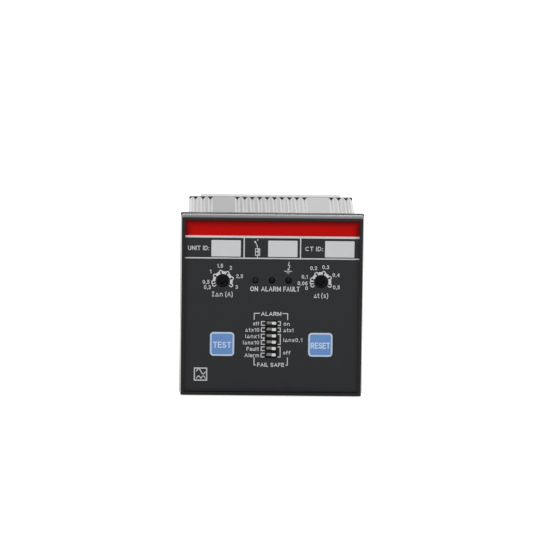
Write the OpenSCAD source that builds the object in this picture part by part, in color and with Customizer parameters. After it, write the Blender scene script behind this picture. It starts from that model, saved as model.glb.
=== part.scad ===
// Residual current monitor for a square panel cut-out.
// Every sub-part is drawn in the panel frame: X to the right, Y from the front rim back
// into the panel, Z up, with the centre of the front at zero. place() then sets it in the
// part's own frame, whose origin is the bottom centre of the box round the whole object.

/* [Front frame] */
// Width and height of the frame where it meets its seal
flange_w = 71.7; // [71:0.1:72]
// Width and height of the frame at its front rim
face_w = 71; // [69:0.5:71.5]
// Depth of the moulded frame
frame_d = 7; // [6.2:0.1:8]
// Width and height of the rubber seal, the widest part of the monitor
seal_w = 72; // [71.5:0.1:74]
// Thickness of the rubber seal behind the frame
seal_t = 2.4; // [1:0.1:3]
// Width of the raised rim round the label
rim_w = 1.25; // [1.2:0.05:2]
// Height of the label's middle over the middle of the frame
label_rise = 0.12; // [0:0.02:0.2]
// Depth from the rim to the seat of the label
label_seat = 1.1; // [0.9:0.05:1.4]
// Thickness of the front wall behind the label
wall_t = 2.2; // [2:0.1:2.6]

/* [Housing] */
// Width and height over the ridges of the housing
case_w = 65.8; // [65.4:0.1:66.4]
// Width and height of the rear cover
cover_w = 65.7; // [65:0.1:66.3]
// Distance from the front rim to the end of the housing
case_end = 63.5; // [60:0.5:66]
// Thickness of the rear cover
cover_t = 1.7; // [1.5:0.1:2]
// Thickness of the housing's walls over the ridges
case_wall = 2.7; // [2.4:0.1:2.8]
// Distance between neighbouring grooves
groove_pitch = 3; // [2.8:0.1:3]
// Width of a groove at the surface
groove_w = 2.2; // [1.4:0.1:2.4]
// Depth of a groove
groove_h = 1.15; // [0.8:0.05:1.2]

/* [Controls] */
// Distance of the dials and the keys from the middle line
control_x = 19.3; // [18:0.1:20]
// Height of the dials above the centre
dial_z = 10.1; // [9:0.1:11]
// Diameter of a dial's rotor
rotor_d = 4.6; // [4:0.1:4.8]
// Width of a key
key_w = 9.65; // [9:0.05:10.5]
// Height of the keys below the centre
key_z = -15.1; // [-16:0.1:-14]
// Distance that a key travels
key_travel = 0.5; // [0.3:0.05:0.6]
// Distance between neighbouring lamps
lamp_pitch = 6.45; // [6:0.05:7]
// Height of the lamps above the centre
lamp_z = 10.5; // [9:0.1:11]
// Height of the slide switch's middle below the centre
dip_z = -13; // [-13.5:0.1:-12.5]
// Number of slides
slide_count = 6; // [4:1:6]

/* [Terminals] */
// Distance between neighbouring terminals
pole_pitch = 5.08; // [5:0.01:5.08]
// Terminals in the upper row
upper_poles = 11; // [5:1:11]
// Terminals in the lower row
lower_poles = 7; // [3:1:11]
// Overall depth from the front rim to the terminals' rear face
depth_all = 77; // [75:0.5:80]
// Height of a terminal plug
plug_h = 15.3; // [14:0.1:15.5]

/* [Hidden] */
$fn = 48;

// Front frame
corner_r = 0.7;
edge_r = 0.25;
skirt_t = 1.8;
label_half = face_w / 2 - rim_w;
wall_back = label_seat + wall_t;
seat_y = frame_d + seal_t;
snap_w = 8;
snap_t = 1.5;
snap_len = 9;
snap_gap = 0.15;
nose_h = 0.8;

// Label
film_t = 0.25;
ink_t = 0.08;
film_y = label_seat - film_t;
film_w = 2 * label_half - 0.2;
header_top = label_rise + film_w / 2;
header_bottom = 28.2;
rule_bottom = 27.35;
row_bottom = 19.5;
line_w = 0.45;
fine_line = 0.32;
divider_x = 11.05;
tag_size = [11.5, 6.5];
tag_z = 23.15;
tag_x = [-18.1, 4.1, 26.4];
badge_w = 5.25;
badge_at = [-27.65, -27.2];
badge_line = 0.42;

// Housing
case_in = case_w / 2 - case_wall;
case_corner = 1.3;
inner_grooves = 5;
outer_grooves = 3;
outer_groove_x = 24.35;
cover_back = case_end + cover_t;
tongue_len = 6.4;

// Front board
board_t = 1.6;
board_y = 8.4;
board_w = 56.4;
boss_at = 25.3;
boss_d = 5;
pilot_d = 2.1;
screw_d = 2;

// Dials
rotor_front = 0.95;
shaft_d = 2.4;
shaft_gap = 0.08;
trimmer_w = 7;
trimmer_front = 4;
dial_hole = 5.1;
scale_in = 2.9;
scale_out = 3.92;
tick_w = 0.58;
lobe_r = 0.8;
lobe_at = 3.7;
current_ticks = [204, 187, 145, 102, 60, 17, -26];
time_ticks = [202, 185, 165, 121, 75, 26, -23];

// Keys
key_r = 1.5;
key_gap = 0.15;
key_front = film_y - 0.1;
key_border = 0.75;
pad_t = 0.12;
collar_w = key_w + 1.4;
collar_t = 0.8;
switch_w = 6;
plunger_d = 3.4;

// Lamps
lamp_d = 2.5;
lamp_front = 1;
lamp_len = 5.3;
lead_pitch = 2.54;
lead_w = 0.5;

// Slide switch
dip_pitch = 2.54;
dip_size = [9.9, 17.4];
dip_front = 1.8;
dip_window = [5, 15.1];
slot_len = 3.85;
slot_w = 1.3;
slide_len = 1.65;
slide_w = 1.1;
slide_travel = 2;
slide_front = 1;
skin_t = 0.6;

// Inner boards
board_z = 17;
inner_half = 29.8;
board_start = 11;
board_end = 62;
rail_w = 1.2;
rail_reach = 1.4;
link_size = [22, 4, 2.5];
link_count = 8;
link_x = 16;
link_z = board_z + board_t / 2 + link_size[2] / 2;

// Terminals, in the upper row's place
header_y = [53.5, 64.5];
header_h = 11.5;
header_wall = 1.2;
header_back = 2.5;
pin_w = 1;
pin_inset = 0.7;
pin_height = board_z + 6.8;
nose_gap = 0.25;
plug_low = 16.6;
plug_y = cover_back + 0.2;
head_d = 3.5;
thread_d = 2.5;
screw_z = plug_low + 11.2;
entry_w = 3.5;
entry_height = plug_low + 4.4;
clamp_w = 4.1;
clamp_y = [67.5, 70];
clamp_mid = plug_low + 7.7;
clamp_h = 11;
head_y = 72;

// Transformer
core_w = 30;
core_h = 25;
core_t = 12;
leg_w = 10;
window_w = 5;
window_h = 15;
core_at = [-13.6, 31];
flange_t = 1.2;
bobbin_t = 1.6;
coil_reach = 5;

// Relays
relay_w = 12.4;
relay_len = 29;
relay_h = 15.7;
relay_y = 21;
trip_x = 9.6;
alarm_x = 22.4;

// Smaller pieces on the inner boards
processor_y = 32;
amplifier_x = [-18, -10, 12];
amplifier_y = 46;
capacitor_at = [-21, 49];
varistor_at = [-21, 15.5];
rectifier_at = [-5, 15.5];

// Moves a sub-part from the panel frame into the part's own frame
module place() {
    translate([0, -depth_all / 2, seal_w / 2]) children();
}

// Carries a drawing of the front, in X and Z, back along Y
module carry(from, to) {
    translate([0, from, 0]) mirror([0, 1, 0]) rotate([90, 0, 0]) linear_extrude(to - from) children();
}

// Rod along Y between two depths
module rod(d, from, to) {
    translate([0, from, 0]) rotate([-90, 0, 0]) cylinder(d = d, h = to - from);
}

// Block centred in X and Z between two depths
module block(w, h, from, to) {
    translate([-w / 2, from, -h / 2]) cube([w, to - from, h]);
}

// Block standing on a board, centred in X and Y
module stand(w, l, h) {
    translate([-w / 2, -l / 2, 0]) cube([w, l, h]);
}

module round_square(w, h, r) {
    square([w - 2 * r, h], center = true);
    square([w, h - 2 * r], center = true);
    for (x = [-1, 1], y = [-1, 1]) {
        translate([x * (w / 2 - r), y * (h / 2 - r)]) circle(r);
    }
}

// Section of the frame's edge, outward from the corner's centre: the front edge is rounded,
// and the side bows out to its full reach at the back
module edge_section(front_r) {
    steps = 6;
    bow = corner_r - front_r;
    side_d = frame_d - edge_r;
    polygon(concat(
        [[0, 0]],
        [for (i = [0:steps]) [
            front_r - edge_r + edge_r * sin(90 * i / steps),
            edge_r - edge_r * cos(90 * i / steps)]],
        [for (i = [1:steps]) [corner_r - bow * pow(1 - i / steps, 2), edge_r + side_d * i / steps]],
        [[0, frame_d]]));
}

// Outer form of the frame, with the same edge along the sides and round the corners
module frame_body() {
    middle = flange_w / 2 - corner_r;
    front_r = face_w / 2 - middle;
    block(2 * middle, 2 * middle, 0, frame_d);
    for (turn = [0:90:270]) {
        rotate([0, turn, 0]) {
            translate([middle, 0, 0]) linear_extrude(2 * middle, center = true) edge_section(front_r);
            translate([middle, 0, middle]) rotate([-90, 0, 0]) rotate([0, 0, -90])
                rotate_extrude(angle = 90) edge_section(front_r);
        }
    }
}

module at_lamps() {
    for (i = [-1:1]) translate([i * lamp_pitch, 0, lamp_z]) children();
}

// Row heights of the slide switch, from the top down
function row_z(i) = dip_z + dip_pitch * ((slide_count - 1) / 2 - i);

module at_bosses() {
    for (x = [-1, 1], z = [-1, 1]) translate([x * boss_at, 0, z * boss_at]) children();
}

// Drawing of every opening that the front wall and the label share
module front_openings(dial, lamp, key_clear) {
    for (side = [-1, 1]) {
        translate([side * control_x, dial_z]) circle(d = dial);
        translate([side * control_x, key_z])
            round_square(key_w + 2 * key_clear, key_w + 2 * key_clear, key_r + key_clear);
    }
    for (i = [-1:1]) translate([i * lamp_pitch, lamp_z]) circle(d = lamp);
    translate([0, dip_z]) square(dip_window, center = true);
}

// Springy arm inside the housing's wall, with a nose that clicks into a pocket
module snap_arm() {
    outer = case_in - snap_gap;
    translate([-snap_w / 2, wall_back, outer - snap_t]) cube([snap_w, snap_len, snap_t]);
    translate([-snap_w / 2, wall_back + snap_len, outer]) rotate([0, 90, 0])
        linear_extrude(snap_w) polygon([[0, 0], [0, -3.2], [-nose_h, -2.6], [-nose_h, -1.8]]);
}

module front_frame() {
    rib_gap = 0.3;
    ribs = 4;
    color([0.16, 0.165, 0.175]) place() {
        difference() {
            frame_body();
            // Seat of the label
            translate([0, 0, label_rise]) block(2 * label_half, 2 * label_half, -1, label_seat);
            // Hollow behind the front wall, as deep as the skirt
            block(flange_w - 2 * skirt_t, flange_w - 2 * skirt_t, wall_back, frame_d + 1);
            carry(0, wall_back + 1) front_openings(dial_hole, lamp_d + 0.5, key_gap);
            // Pocket that takes the slide switch's face
            translate([0, 0, dip_z])
                block(dip_size[0] + 0.4, dip_size[1] + 0.4, dip_front - 0.1, wall_back + 1);
        }
        // Ribs between the skirt and the housing
        for (turn = [0:90:270], i = [0:ribs - 1]) {
            rotate([0, turn, 0]) translate([(i - (ribs - 1) / 2) * 16, 0, 0])
                translate([-0.6, wall_back, case_w / 2 + rib_gap])
                    cube([1.2, frame_d - wall_back, flange_w / 2 - skirt_t - case_w / 2 - rib_gap]);
        }
        for (turn = [0:90:270]) rotate([0, turn, 0]) snap_arm();
        difference() {
            at_bosses() rod(boss_d, wall_back, board_y);
            at_bosses() rod(pilot_d, wall_back + 0.6, board_y + 1);
        }
    }
}

module panel_seal() {
    color([0.09, 0.09, 0.09]) place() carry(frame_d, seat_y) difference() {
        round_square(seal_w, seal_w, corner_r);
        square(case_w + 0.6, center = true);
    }
}

module label_film() {
    color([0.19, 0.195, 0.205]) place() carry(film_y, label_seat) difference() {
        translate([0, label_rise]) square(film_w, center = true);
        front_openings(dial_hole - 0.1, lamp_d + 0.1, key_gap);
    }
}

module header_field() {
    color([0.69, 0.06, 0.07]) place() carry(film_y - ink_t, film_y)
        translate([-film_w / 2, header_bottom]) square([film_w, header_top - header_bottom]);
}

module write_on_tags() {
    color([0.79, 0.79, 0.8]) place() carry(film_y - ink_t, film_y)
        for (x = tag_x) translate([x, tag_z]) round_square(tag_size[0], tag_size[1], 0.3);
}

// White ring round a dial, open at the bottom, with a notch and a small eye at each value
module dial_scale(ticks) {
    overrun = 9;
    first = ticks[0] + overrun;
    last = ticks[len(ticks) - 1] - overrun;
    reach = 2 * scale_out;
    opening = [
        [0, 0],
        reach * [cos(first), sin(first)],
        [0, -2 * reach],
        reach * [cos(last), sin(last)]];
    difference() {
        union() {
            difference() {
                circle(scale_out);
                polygon(opening);
            }
            for (angle = ticks) rotate(angle) translate([lobe_at, 0]) circle(lobe_r);
        }
        circle(scale_in);
        for (angle = ticks) rotate(angle) translate([0, -tick_w / 2]) square([lobe_at, tick_w]);
        for (angle = ticks) rotate(angle) translate([lobe_at, 0]) circle(tick_w * 0.72);
    }
}

// Square bracket of fine lines whose arms point to the middle line
module bracket(x, arm, top, bottom) {
    side = sign(x);
    back = abs(x);
    scale([side, 1]) {
        translate([back - fine_line, bottom]) square([fine_line, top - bottom]);
        translate([back - arm, top - fine_line]) square([arm, fine_line]);
        translate([back - arm, bottom]) square([arm, fine_line]);
    }
}

// Corner of fine lines: a leg down or up from a short arm that points to the middle line
module corner_line(x, arm, arm_z, leg_z) {
    side = sign(x);
    back = abs(x);
    scale([side, 1]) {
        translate([back - arm, arm_z - fine_line / 2]) square([arm, fine_line]);
        translate([back - fine_line, min(arm_z - fine_line / 2, leg_z)])
            square([fine_line, abs(arm_z - leg_z) + fine_line / 2]);
    }
}

module slide_brackets() {
    half_row = 0.9;
    window = dip_window[0] / 2;
    right_at = 3.7;
    link_at = -3.1;
    for (i = [0:slide_count - 1]) bracket(-4.1, 4.1 - window, row_z(i) + half_row, row_z(i) - half_row);
    for (i = [0, 1]) bracket(right_at, right_at - window, row_z(i) + half_row, row_z(i) - half_row);
    for (i = [2, 4]) bracket(right_at, right_at - window, row_z(i) + half_row, row_z(i + 1) - half_row);
    // Short line that joins the third and fourth brackets on the left
    translate([link_at, row_z(3) + half_row]) square([fine_line, dip_pitch - 2 * half_row]);
    corner_line(-6.95, 2.4, -2.65, -5.25);
    corner_line(6.5, 2.2, -2.65, -5.25);
    corner_line(-6.85, 0.9, -23.3, -20.2);
    corner_line(6.6, 0.9, -23.3, -20.2);
}

module label_print() {
    color([0.82, 0.82, 0.83]) place() carry(film_y - ink_t, film_y) {
        translate([-film_w / 2, rule_bottom]) square([film_w, header_bottom - rule_bottom]);
        translate([-film_w / 2, row_bottom - line_w]) square([film_w, line_w]);
        for (side = [-1, 1]) translate([side * divider_x - line_w / 2, row_bottom])
            square([line_w, rule_bottom - row_bottom]);
        translate([-control_x, dial_z]) dial_scale(current_ticks);
        translate([control_x, dial_z]) dial_scale(time_ticks);
        slide_brackets();
        translate(badge_at) difference() {
            square(badge_w, center = true);
            square(badge_w - 2 * badge_line, center = true);
        }
    }
}

// Key with a raised border, a collar behind the front wall and a flat back for the plunger
module key_body() {
    carry(key_front + pad_t, wall_back + 0.2) round_square(key_w, key_w, key_r);
    carry(key_front, key_front + pad_t + 0.01) difference() {
        round_square(key_w, key_w, key_r);
        round_square(key_w - 2 * key_border, key_w - 2 * key_border, key_r - key_border + 0.15);
    }
    carry(wall_back + 0.15, wall_back + 0.15 + collar_t) round_square(collar_w, collar_w, key_r);
}

module key_pad() {
    carry(key_front + 0.02, key_front + pad_t)
        round_square(key_w - 2 * key_border, key_w - 2 * key_border, key_r - key_border + 0.15);
}

// Small push switch on the front board: a block with a bore for its plunger and four feet
module push_switch() {
    front = wall_back + 0.15 + collar_t + key_travel + 0.2;
    difference() {
        union() {
            block(switch_w, switch_w, front + 0.3, board_y);
            block(switch_w - 0.3, switch_w - 0.3, front, front + 0.35);
        }
        rod(plunger_d + 0.3, front - 1, board_y - 0.8);
    }
    for (x = [-1, 1], z = [-1, 1]) translate([x * (switch_w / 2 + 0.5), 0, z * 2.25])
        block(1, 0.7, board_y - 0.4, board_y);
}

module plunger() {
    rod(plunger_d, wall_back + 0.15 + collar_t, board_y - 0.8 - key_travel - 0.15);
}

module test_key() { color([0.76, 0.8, 0.87]) place() translate([-control_x, 0, key_z]) key_body(); }
module test_key_pad() { color([0.4, 0.58, 0.8]) place() translate([-control_x, 0, key_z]) key_pad(); }
module test_switch() { color([0.2, 0.2, 0.21]) place() translate([-control_x, 0, key_z]) push_switch(); }
module test_plunger() { color([0.75, 0.2, 0.15]) place() translate([-control_x, 0, key_z]) plunger(); }
module reset_key() { color([0.76, 0.8, 0.87]) place() translate([control_x, 0, key_z]) key_body(); }
module reset_key_pad() { color([0.4, 0.58, 0.8]) place() translate([control_x, 0, key_z]) key_pad(); }
module reset_switch() { color([0.2, 0.2, 0.21]) place() translate([control_x, 0, key_z]) push_switch(); }
module reset_plunger() { color([0.75, 0.2, 0.15]) place() translate([control_x, 0, key_z]) plunger(); }

// Rotor of a trimmer: a disc with an arrow-shaped screwdriver slot that points to pointer
module dial_rotor(pointer) {
    slot_d = 0.9;
    difference() {
        rod(rotor_d, rotor_front, trimmer_front - 0.3);
        carry(rotor_front - 1, rotor_front + slot_d) rotate(pointer) {
            translate([-rotor_d * 0.36, -0.4]) square([rotor_d * 0.62, 0.8]);
            polygon([[rotor_d * 0.44, 0], [0.5, 1.35], [0.5, -1.35]]);
            translate([-0.4, -rotor_d * 0.3]) square([0.8, rotor_d * 0.6]);
        }
    }
    rod(shaft_d, trimmer_front - 0.4, board_y - 1.2);
}

module trimmer() {
    difference() {
        carry(trimmer_front, board_y) round_square(trimmer_w, trimmer_w, 0.8);
        rod(shaft_d + 2 * shaft_gap, trimmer_front - 1, board_y - 1);
    }
}

module current_dial() {
    color([0.07, 0.07, 0.075]) place() translate([-control_x, 0, dial_z]) dial_rotor(current_ticks[1]);
}
module current_trimmer() { color([0.15, 0.25, 0.5]) place() translate([-control_x, 0, dial_z]) trimmer(); }
module time_dial() {
    color([0.07, 0.07, 0.075]) place() translate([control_x, 0, dial_z]) dial_rotor(time_ticks[1]);
}
module time_trimmer() { color([0.15, 0.25, 0.5]) place() translate([control_x, 0, dial_z]) trimmer(); }

// Lamp body: a round lens with a domed front and a foot ring
module lamp() {
    dome = 0.7;
    translate([0, lamp_front, 0]) rotate([-90, 0, 0]) rotate_extrude() polygon(concat(
        [for (i = [0:8]) [lamp_d / 2 * sin(90 * i / 8), dome - dome * cos(90 * i / 8)]],
        [[lamp_d / 2, lamp_len - 1], [1.8, lamp_len - 1], [1.8, lamp_len], [0, lamp_len]]));
}

module lamp_at(i) { place() translate([i * lamp_pitch, 0, lamp_z]) lamp(); }
module lamp_on() { color([0.05, 0.12, 0.07]) lamp_at(-1); }
module lamp_alarm() { color([0.14, 0.04, 0.04]) lamp_at(0); }
module lamp_fault() { color([0.14, 0.04, 0.04]) lamp_at(1); }

module at_leads() {
    for (side = [-1, 1]) translate([side * lead_pitch / 2, 0, 0]) children();
}

module lamp_spacers() {
    color([0.1, 0.1, 0.1]) place() at_lamps() difference() {
        rod(4, lamp_front + lamp_len, board_y);
        at_leads() rod(0.9, lamp_front + lamp_len - 1, board_y + 1);
    }
}

module lamp_leads() {
    color([0.75, 0.75, 0.76]) place() at_lamps() at_leads()
        block(lead_w, lead_w, lamp_front + lamp_len, board_y + board_t + 1);
}

// Slide switch: a block with a slot for each slide and a channel below for the slide's foot
module dip_body() {
    channel = [slot_len + 2 * slide_travel + 0.6, slide_w + 0.4];
    color([0.07, 0.07, 0.07]) place() difference() {
        translate([0, 0, dip_z]) block(dip_size[0], dip_size[1], dip_front, board_y);
        for (i = [0:slide_count - 1]) translate([0, 0, row_z(i)]) {
            block(slot_len, slot_w, dip_front - 1, dip_front + skin_t + 0.1);
            block(channel[0], channel[1], dip_front + skin_t, dip_front + skin_t + 0.8);
        }
    }
}

// Slide: a button in the slot, at the right end at rest, on a long thin foot in the channel
module dip_slide(i) {
    foot_from = dip_front + skin_t + 0.08;
    right = slot_len / 2 - 0.08;
    color([0.9, 0.9, 0.88]) place() translate([0, 0, row_z(i)]) {
        translate([right - slide_len, slide_front, -slide_w / 2])
            cube([slide_len, foot_from - slide_front + 0.3, slide_w]);
        translate([-right, foot_from, -slide_w / 2 - 0.08])
            cube([2 * right + slide_travel, 0.6, slide_w + 0.16]);
    }
}
module dip_slide_1() { dip_slide(0); }
module dip_slide_2() { dip_slide(1); }
module dip_slide_3() { dip_slide(2); }
module dip_slide_4() { dip_slide(3); }
module dip_slide_5() { dip_slide(4); }
module dip_slide_6() { dip_slide(5); }

module at_dip_pins() {
    for (i = [0:slide_count - 1], side = [-1, 1]) translate([side * 3.81, 0, row_z(i)]) children();
}

module dip_pins() {
    color([0.75, 0.75, 0.76]) place() at_dip_pins() block(lead_w, lead_w, board_y, board_y + board_t + 1);
}

module at_link_pins() {
    for (side = [-1, 1], i = [0:link_count - 1])
        translate([link_x + (i - (link_count - 1) / 2) * lead_pitch, 0, side * link_z]) children();
}

module front_board() {
    color([0.1, 0.35, 0.2]) place() difference() {
        carry(board_y, board_y + board_t) round_square(board_w, board_w, 1.5);
        at_bosses() rod(screw_d + 0.4, board_y - 1, board_y + board_t + 1);
        at_lamps() at_leads() rod(0.9, board_y - 1, board_y + board_t + 1);
        at_dip_pins() rod(0.9, board_y - 1, board_y + board_t + 1);
        at_link_pins() rod(0.9, board_y - 1, board_y + board_t + 1);
    }
}

// Pan-head screws that hold the front board to the frame's bosses
module board_screws() {
    head_y = board_y + board_t;
    color([0.7, 0.7, 0.68]) place() at_bosses() {
        rod(screw_d, head_y - 5, head_y);
        difference() {
            translate([0, head_y, 0]) rotate([-90, 0, 0]) cylinder(d1 = 4.2, d2 = 3.2, h = 1.5);
            for (turn = [0, 90]) rotate([0, turn, 0]) block(2.4, 0.5, head_y + 0.7, head_y + 2);
        }
    }
}

// Positions of the grooves on one side of the housing, from the middle outwards
groove_list = concat(
    [for (i = [0:inner_grooves - 1]) (i + 0.5) * groove_pitch],
    [for (i = [0:outer_grooves - 1]) outer_groove_x + i * groove_pitch]);

// Outline of the housing: a square with V grooves along all four sides and bevelled corners
module case_outline() {
    half = case_w / 2;
    difference() {
        square(case_w, center = true);
        for (turn = [0:90:270]) rotate(turn) {
            for (x = groove_list, side = [-1, 1]) translate([side * x, half])
                polygon([[-groove_w / 2, 0.01], [groove_w / 2, 0.01], [0, -groove_h]]);
            translate([half, half]) rotate(45) square([case_corner * sqrt(2), 4], center = true);
        }
    }
}

// Pocket in the housing's wall for a snap nose of the frame or of the cover
module snap_pocket(from) {
    translate([-snap_w / 2 - 0.3, from, case_in - 1]) cube([snap_w + 0.6, 4, 1 + nose_h + 0.1]);
}

module housing() {
    rail_from = board_start + 1;
    rail_to = case_end - 2.5;
    color([0.77, 0.77, 0.77]) place() {
        difference() {
            carry(wall_back, case_end) difference() {
                case_outline();
                square(2 * case_in, center = true);
            }
            for (turn = [0:90:270]) rotate([0, turn, 0]) snap_pocket(wall_back + snap_len - 3.6);
            for (turn = [90, 270]) rotate([0, turn, 0]) snap_pocket(case_end - tongue_len);
        }
        // Guide rails for the two inner boards
        for (z = [-board_z, board_z], side = [-1, 1], edge = [-1, 1]) {
            translate([side * (case_in - rail_reach / 2), 0, z + edge * (board_t / 2 + rail_w / 2)])
                block(rail_reach + 0.02, rail_w, rail_from, rail_to);
        }
    }
}

// Width of a terminal row over its end walls
function row_w(poles) = poles * pole_pitch + 0.8;

// Turns what is drawn in the upper row's place to the lower row's place
module lower_row() {
    rotate([0, 180, 0]) children();
}

// Tongue of the rear cover, with a nose that clicks into the housing
module cover_tongue() {
    outer = case_in - snap_gap;
    translate([-snap_w / 2, case_end - tongue_len, outer - snap_t]) cube([snap_w, tongue_len + 0.1, snap_t]);
    translate([-snap_w / 2, case_end - tongue_len, outer]) rotate([0, 90, 0])
        linear_extrude(snap_w) polygon([[0, 0.6], [-nose_h, 1.4], [-nose_h, 2.4], [0, 3.4]]);
}

// Openings through the rear cover for the two terminal rows
module cover_windows() {
    for (row = [[0, upper_poles], [180, lower_poles]]) {
        rotate([0, row[0], 0]) translate([0, 0, board_z + board_t / 2 + header_h / 2])
            block(row_w(row[1]) + 0.6, header_h + 0.6, case_end - 3, cover_back + 1);
    }
}

module rear_cover() {
    vents = 9;
    lip_w = 2 * case_in - 0.2;
    color([0.16, 0.165, 0.175]) place() {
        difference() {
            union() {
                carry(case_end, cover_back) round_square(cover_w, cover_w, 0.4);
                // Lip that locates the cover inside the housing
                difference() {
                    block(lip_w, lip_w, case_end - 1.5, case_end + 0.01);
                    block(lip_w - 2.4, lip_w - 2.4, case_end - 2, case_end + 1);
                }
            }
            cover_windows();
            for (i = [0:vents - 1]) translate([(i - (vents - 1) / 2) * 4, 0, 0])
                carry(case_end - 1, cover_back + 1) round_square(1.5, 14, 0.7);
        }
        for (turn = [90, 270]) rotate([0, turn, 0]) cover_tongue();
    }
}

// Holes of a terminal row's pins through the board, in the upper row's place
module pin_holes(poles) {
    for (i = [0:poles - 1]) translate([pole_x(i, poles), header_y[0] + pin_inset + pin_w / 2, board_z])
        cylinder(d = 1.6, h = 2 * board_t, center = true);
}

module inner_board(poles) {
    difference() {
        translate([-inner_half, board_start, board_z - board_t / 2])
            cube([2 * inner_half, board_end - board_start, board_t]);
        pin_holes(poles);
    }
}

module signal_board() { color([0.1, 0.35, 0.2]) place() inner_board(upper_poles); }
module power_board() { color([0.1, 0.35, 0.2]) place() lower_row() inner_board(lower_poles); }

// Sockets that join the front board to the two inner boards
module board_links() {
    color([0.08, 0.08, 0.08]) place() difference() {
        for (side = [-1, 1]) translate([link_x, 0, side * link_z])
            block(link_size[0], link_size[2], board_y + board_t, board_y + board_t + link_size[1]);
        at_link_pins() block(lead_w, lead_w, board_y, board_y + board_t + link_size[1] - 1);
    }
}

module link_pins() {
    color([0.75, 0.75, 0.76]) place() at_link_pins()
        block(lead_w, lead_w, board_y - 1, board_y + board_t + link_size[1] - 1);
}

// Flat square chip under the signal board, with a row of leads on each side
module processor() {
    body = 10;
    leads = 7;
    color([0.1, 0.1, 0.1]) place() translate([0, processor_y, board_z - board_t / 2]) {
        translate([0, 0, -1.5]) difference() {
            stand(body, body, 1.4);
            translate([-3.8, 3.8, -1]) cylinder(d = 1, h = 1.2);
        }
        for (turn = [0:90:270], i = [0:leads - 1]) rotate([0, 0, turn])
            translate([body / 2, (i - (leads - 1) / 2) * 1.2 - 0.2, -0.9]) {
                translate([-0.1, 0, 0]) cube([0.7, 0.4, 0.3]);
                translate([0.3, 0, 0]) cube([0.3, 0.4, 0.9]);
                translate([0.3, 0, 0.6]) cube([0.9, 0.4, 0.3]);
            }
    }
}

// Three small chips beside the processor
module amplifiers() {
    under = board_z - board_t / 2;
    color([0.12, 0.12, 0.12]) place() for (x = amplifier_x) translate([x, amplifier_y, under]) {
        translate([0, 0, -1.6]) stand(4, 5, 1.4);
        for (side = [-1, 1], i = [0:3]) translate([side * 2.5 - 0.55, (i - 1.5) * 1.27 - 0.2, -0.8])
            cube([1.1, 0.4, 0.8]);
    }
}

// Place of a terminal along its row
function pole_x(i, poles) = (i - (poles - 1) / 2) * pole_pitch;

// Pin of a terminal header: from the plug's socket forward, then down through the board
module header_pin() {
    low = board_z - board_t / 2 - 1.2;
    top = pin_height + pin_w / 2;
    translate([-pin_w / 2, header_y[0] + pin_inset, low]) cube([pin_w, pin_w, top - low]);
    translate([-pin_w / 2, header_y[0] + pin_inset, top - pin_w])
        cube([pin_w, header_y[1] - header_y[0] - 2, pin_w]);
}

module terminal_header(poles) {
    w = row_w(poles);
    floor_z = board_z + board_t / 2;
    difference() {
        translate([-w / 2, header_y[0], floor_z]) cube([w, header_y[1] - header_y[0], header_h]);
        translate([-w / 2 + header_wall, header_y[0] + header_back, floor_z + header_wall])
            cube([w - 2 * header_wall, header_y[1], header_h - 2 * header_wall]);
        // Keying notch in the upper wall
        translate([-w / 4, header_y[1] - 4, floor_z + header_h - header_wall - 1]) cube([w / 2, 5, 3]);
        for (i = [0:poles - 1]) translate([pole_x(i, poles), 0, 0]) header_pin();
    }
}

module upper_header() { color([0.2, 0.3, 0.22]) place() terminal_header(upper_poles); }
module lower_header() { color([0.2, 0.3, 0.22]) place() lower_row() terminal_header(lower_poles); }

module header_pins() {
    color([0.75, 0.75, 0.76]) place() {
        for (i = [0:upper_poles - 1]) translate([pole_x(i, upper_poles), 0, 0]) header_pin();
        lower_row() for (i = [0:lower_poles - 1]) translate([pole_x(i, lower_poles), 0, 0]) header_pin();
    }
}

// Section of a plug's body along the row: a block with a bevelled top edge and a stepped lower edge
module plug_section() {
    polygon([
        [plug_y, plug_low], [depth_all - 2.4, plug_low], [depth_all - 2.4, plug_low + 0.8],
        [depth_all, plug_low + 1.6], [depth_all, plug_low + plug_h - 1], [depth_all - 1, plug_low + plug_h],
        [plug_y, plug_low + plug_h]]);
}

// Plug of a terminal row: a body behind the cover and a nose that fills the header
module terminal_plug(poles) {
    w = row_w(poles);
    nose_w = w - 2 * header_wall - 2 * nose_gap;
    nose_tall = header_h - 2 * header_wall - 2 * nose_gap;
    nose_from = header_y[0] + header_back + 0.5;
    difference() {
        union() {
            rotate([90, 0, 90]) linear_extrude(w, center = true) plug_section();
            translate([0, 0, board_z + board_t / 2 + header_h / 2])
                block(nose_w, nose_tall, nose_from, plug_y + 1);
        }
        for (i = [0:poles - 1]) translate([pole_x(i, poles), 0, 0]) {
            // Screw hole with a shoulder, wire entry, clamp space and pin socket
            translate([0, 0, screw_z]) rod(head_d + 0.2, head_y, depth_all + 1);
            translate([0, 0, screw_z]) rod(thread_d + 0.4, clamp_y[0], depth_all);
            translate([0, 0, entry_height]) block(entry_w, entry_w, clamp_y[0], depth_all + 1);
            translate([0, 0, clamp_mid]) block(clamp_w + 0.1, clamp_h + 0.1, clamp_y[0], clamp_y[1]);
            translate([0, 0, pin_height]) block(pin_w + 0.4, pin_w + 0.4, nose_from - 1, clamp_y[0] + 0.1);
        }
        // Grooves between the terminals
        for (i = [1:poles - 1]) translate([pole_x(i, poles) - pole_pitch / 2, 0, plug_low + plug_h / 2])
            block(0.5, plug_h + 1, depth_all - 0.5, depth_all + 1);
    }
}

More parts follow.
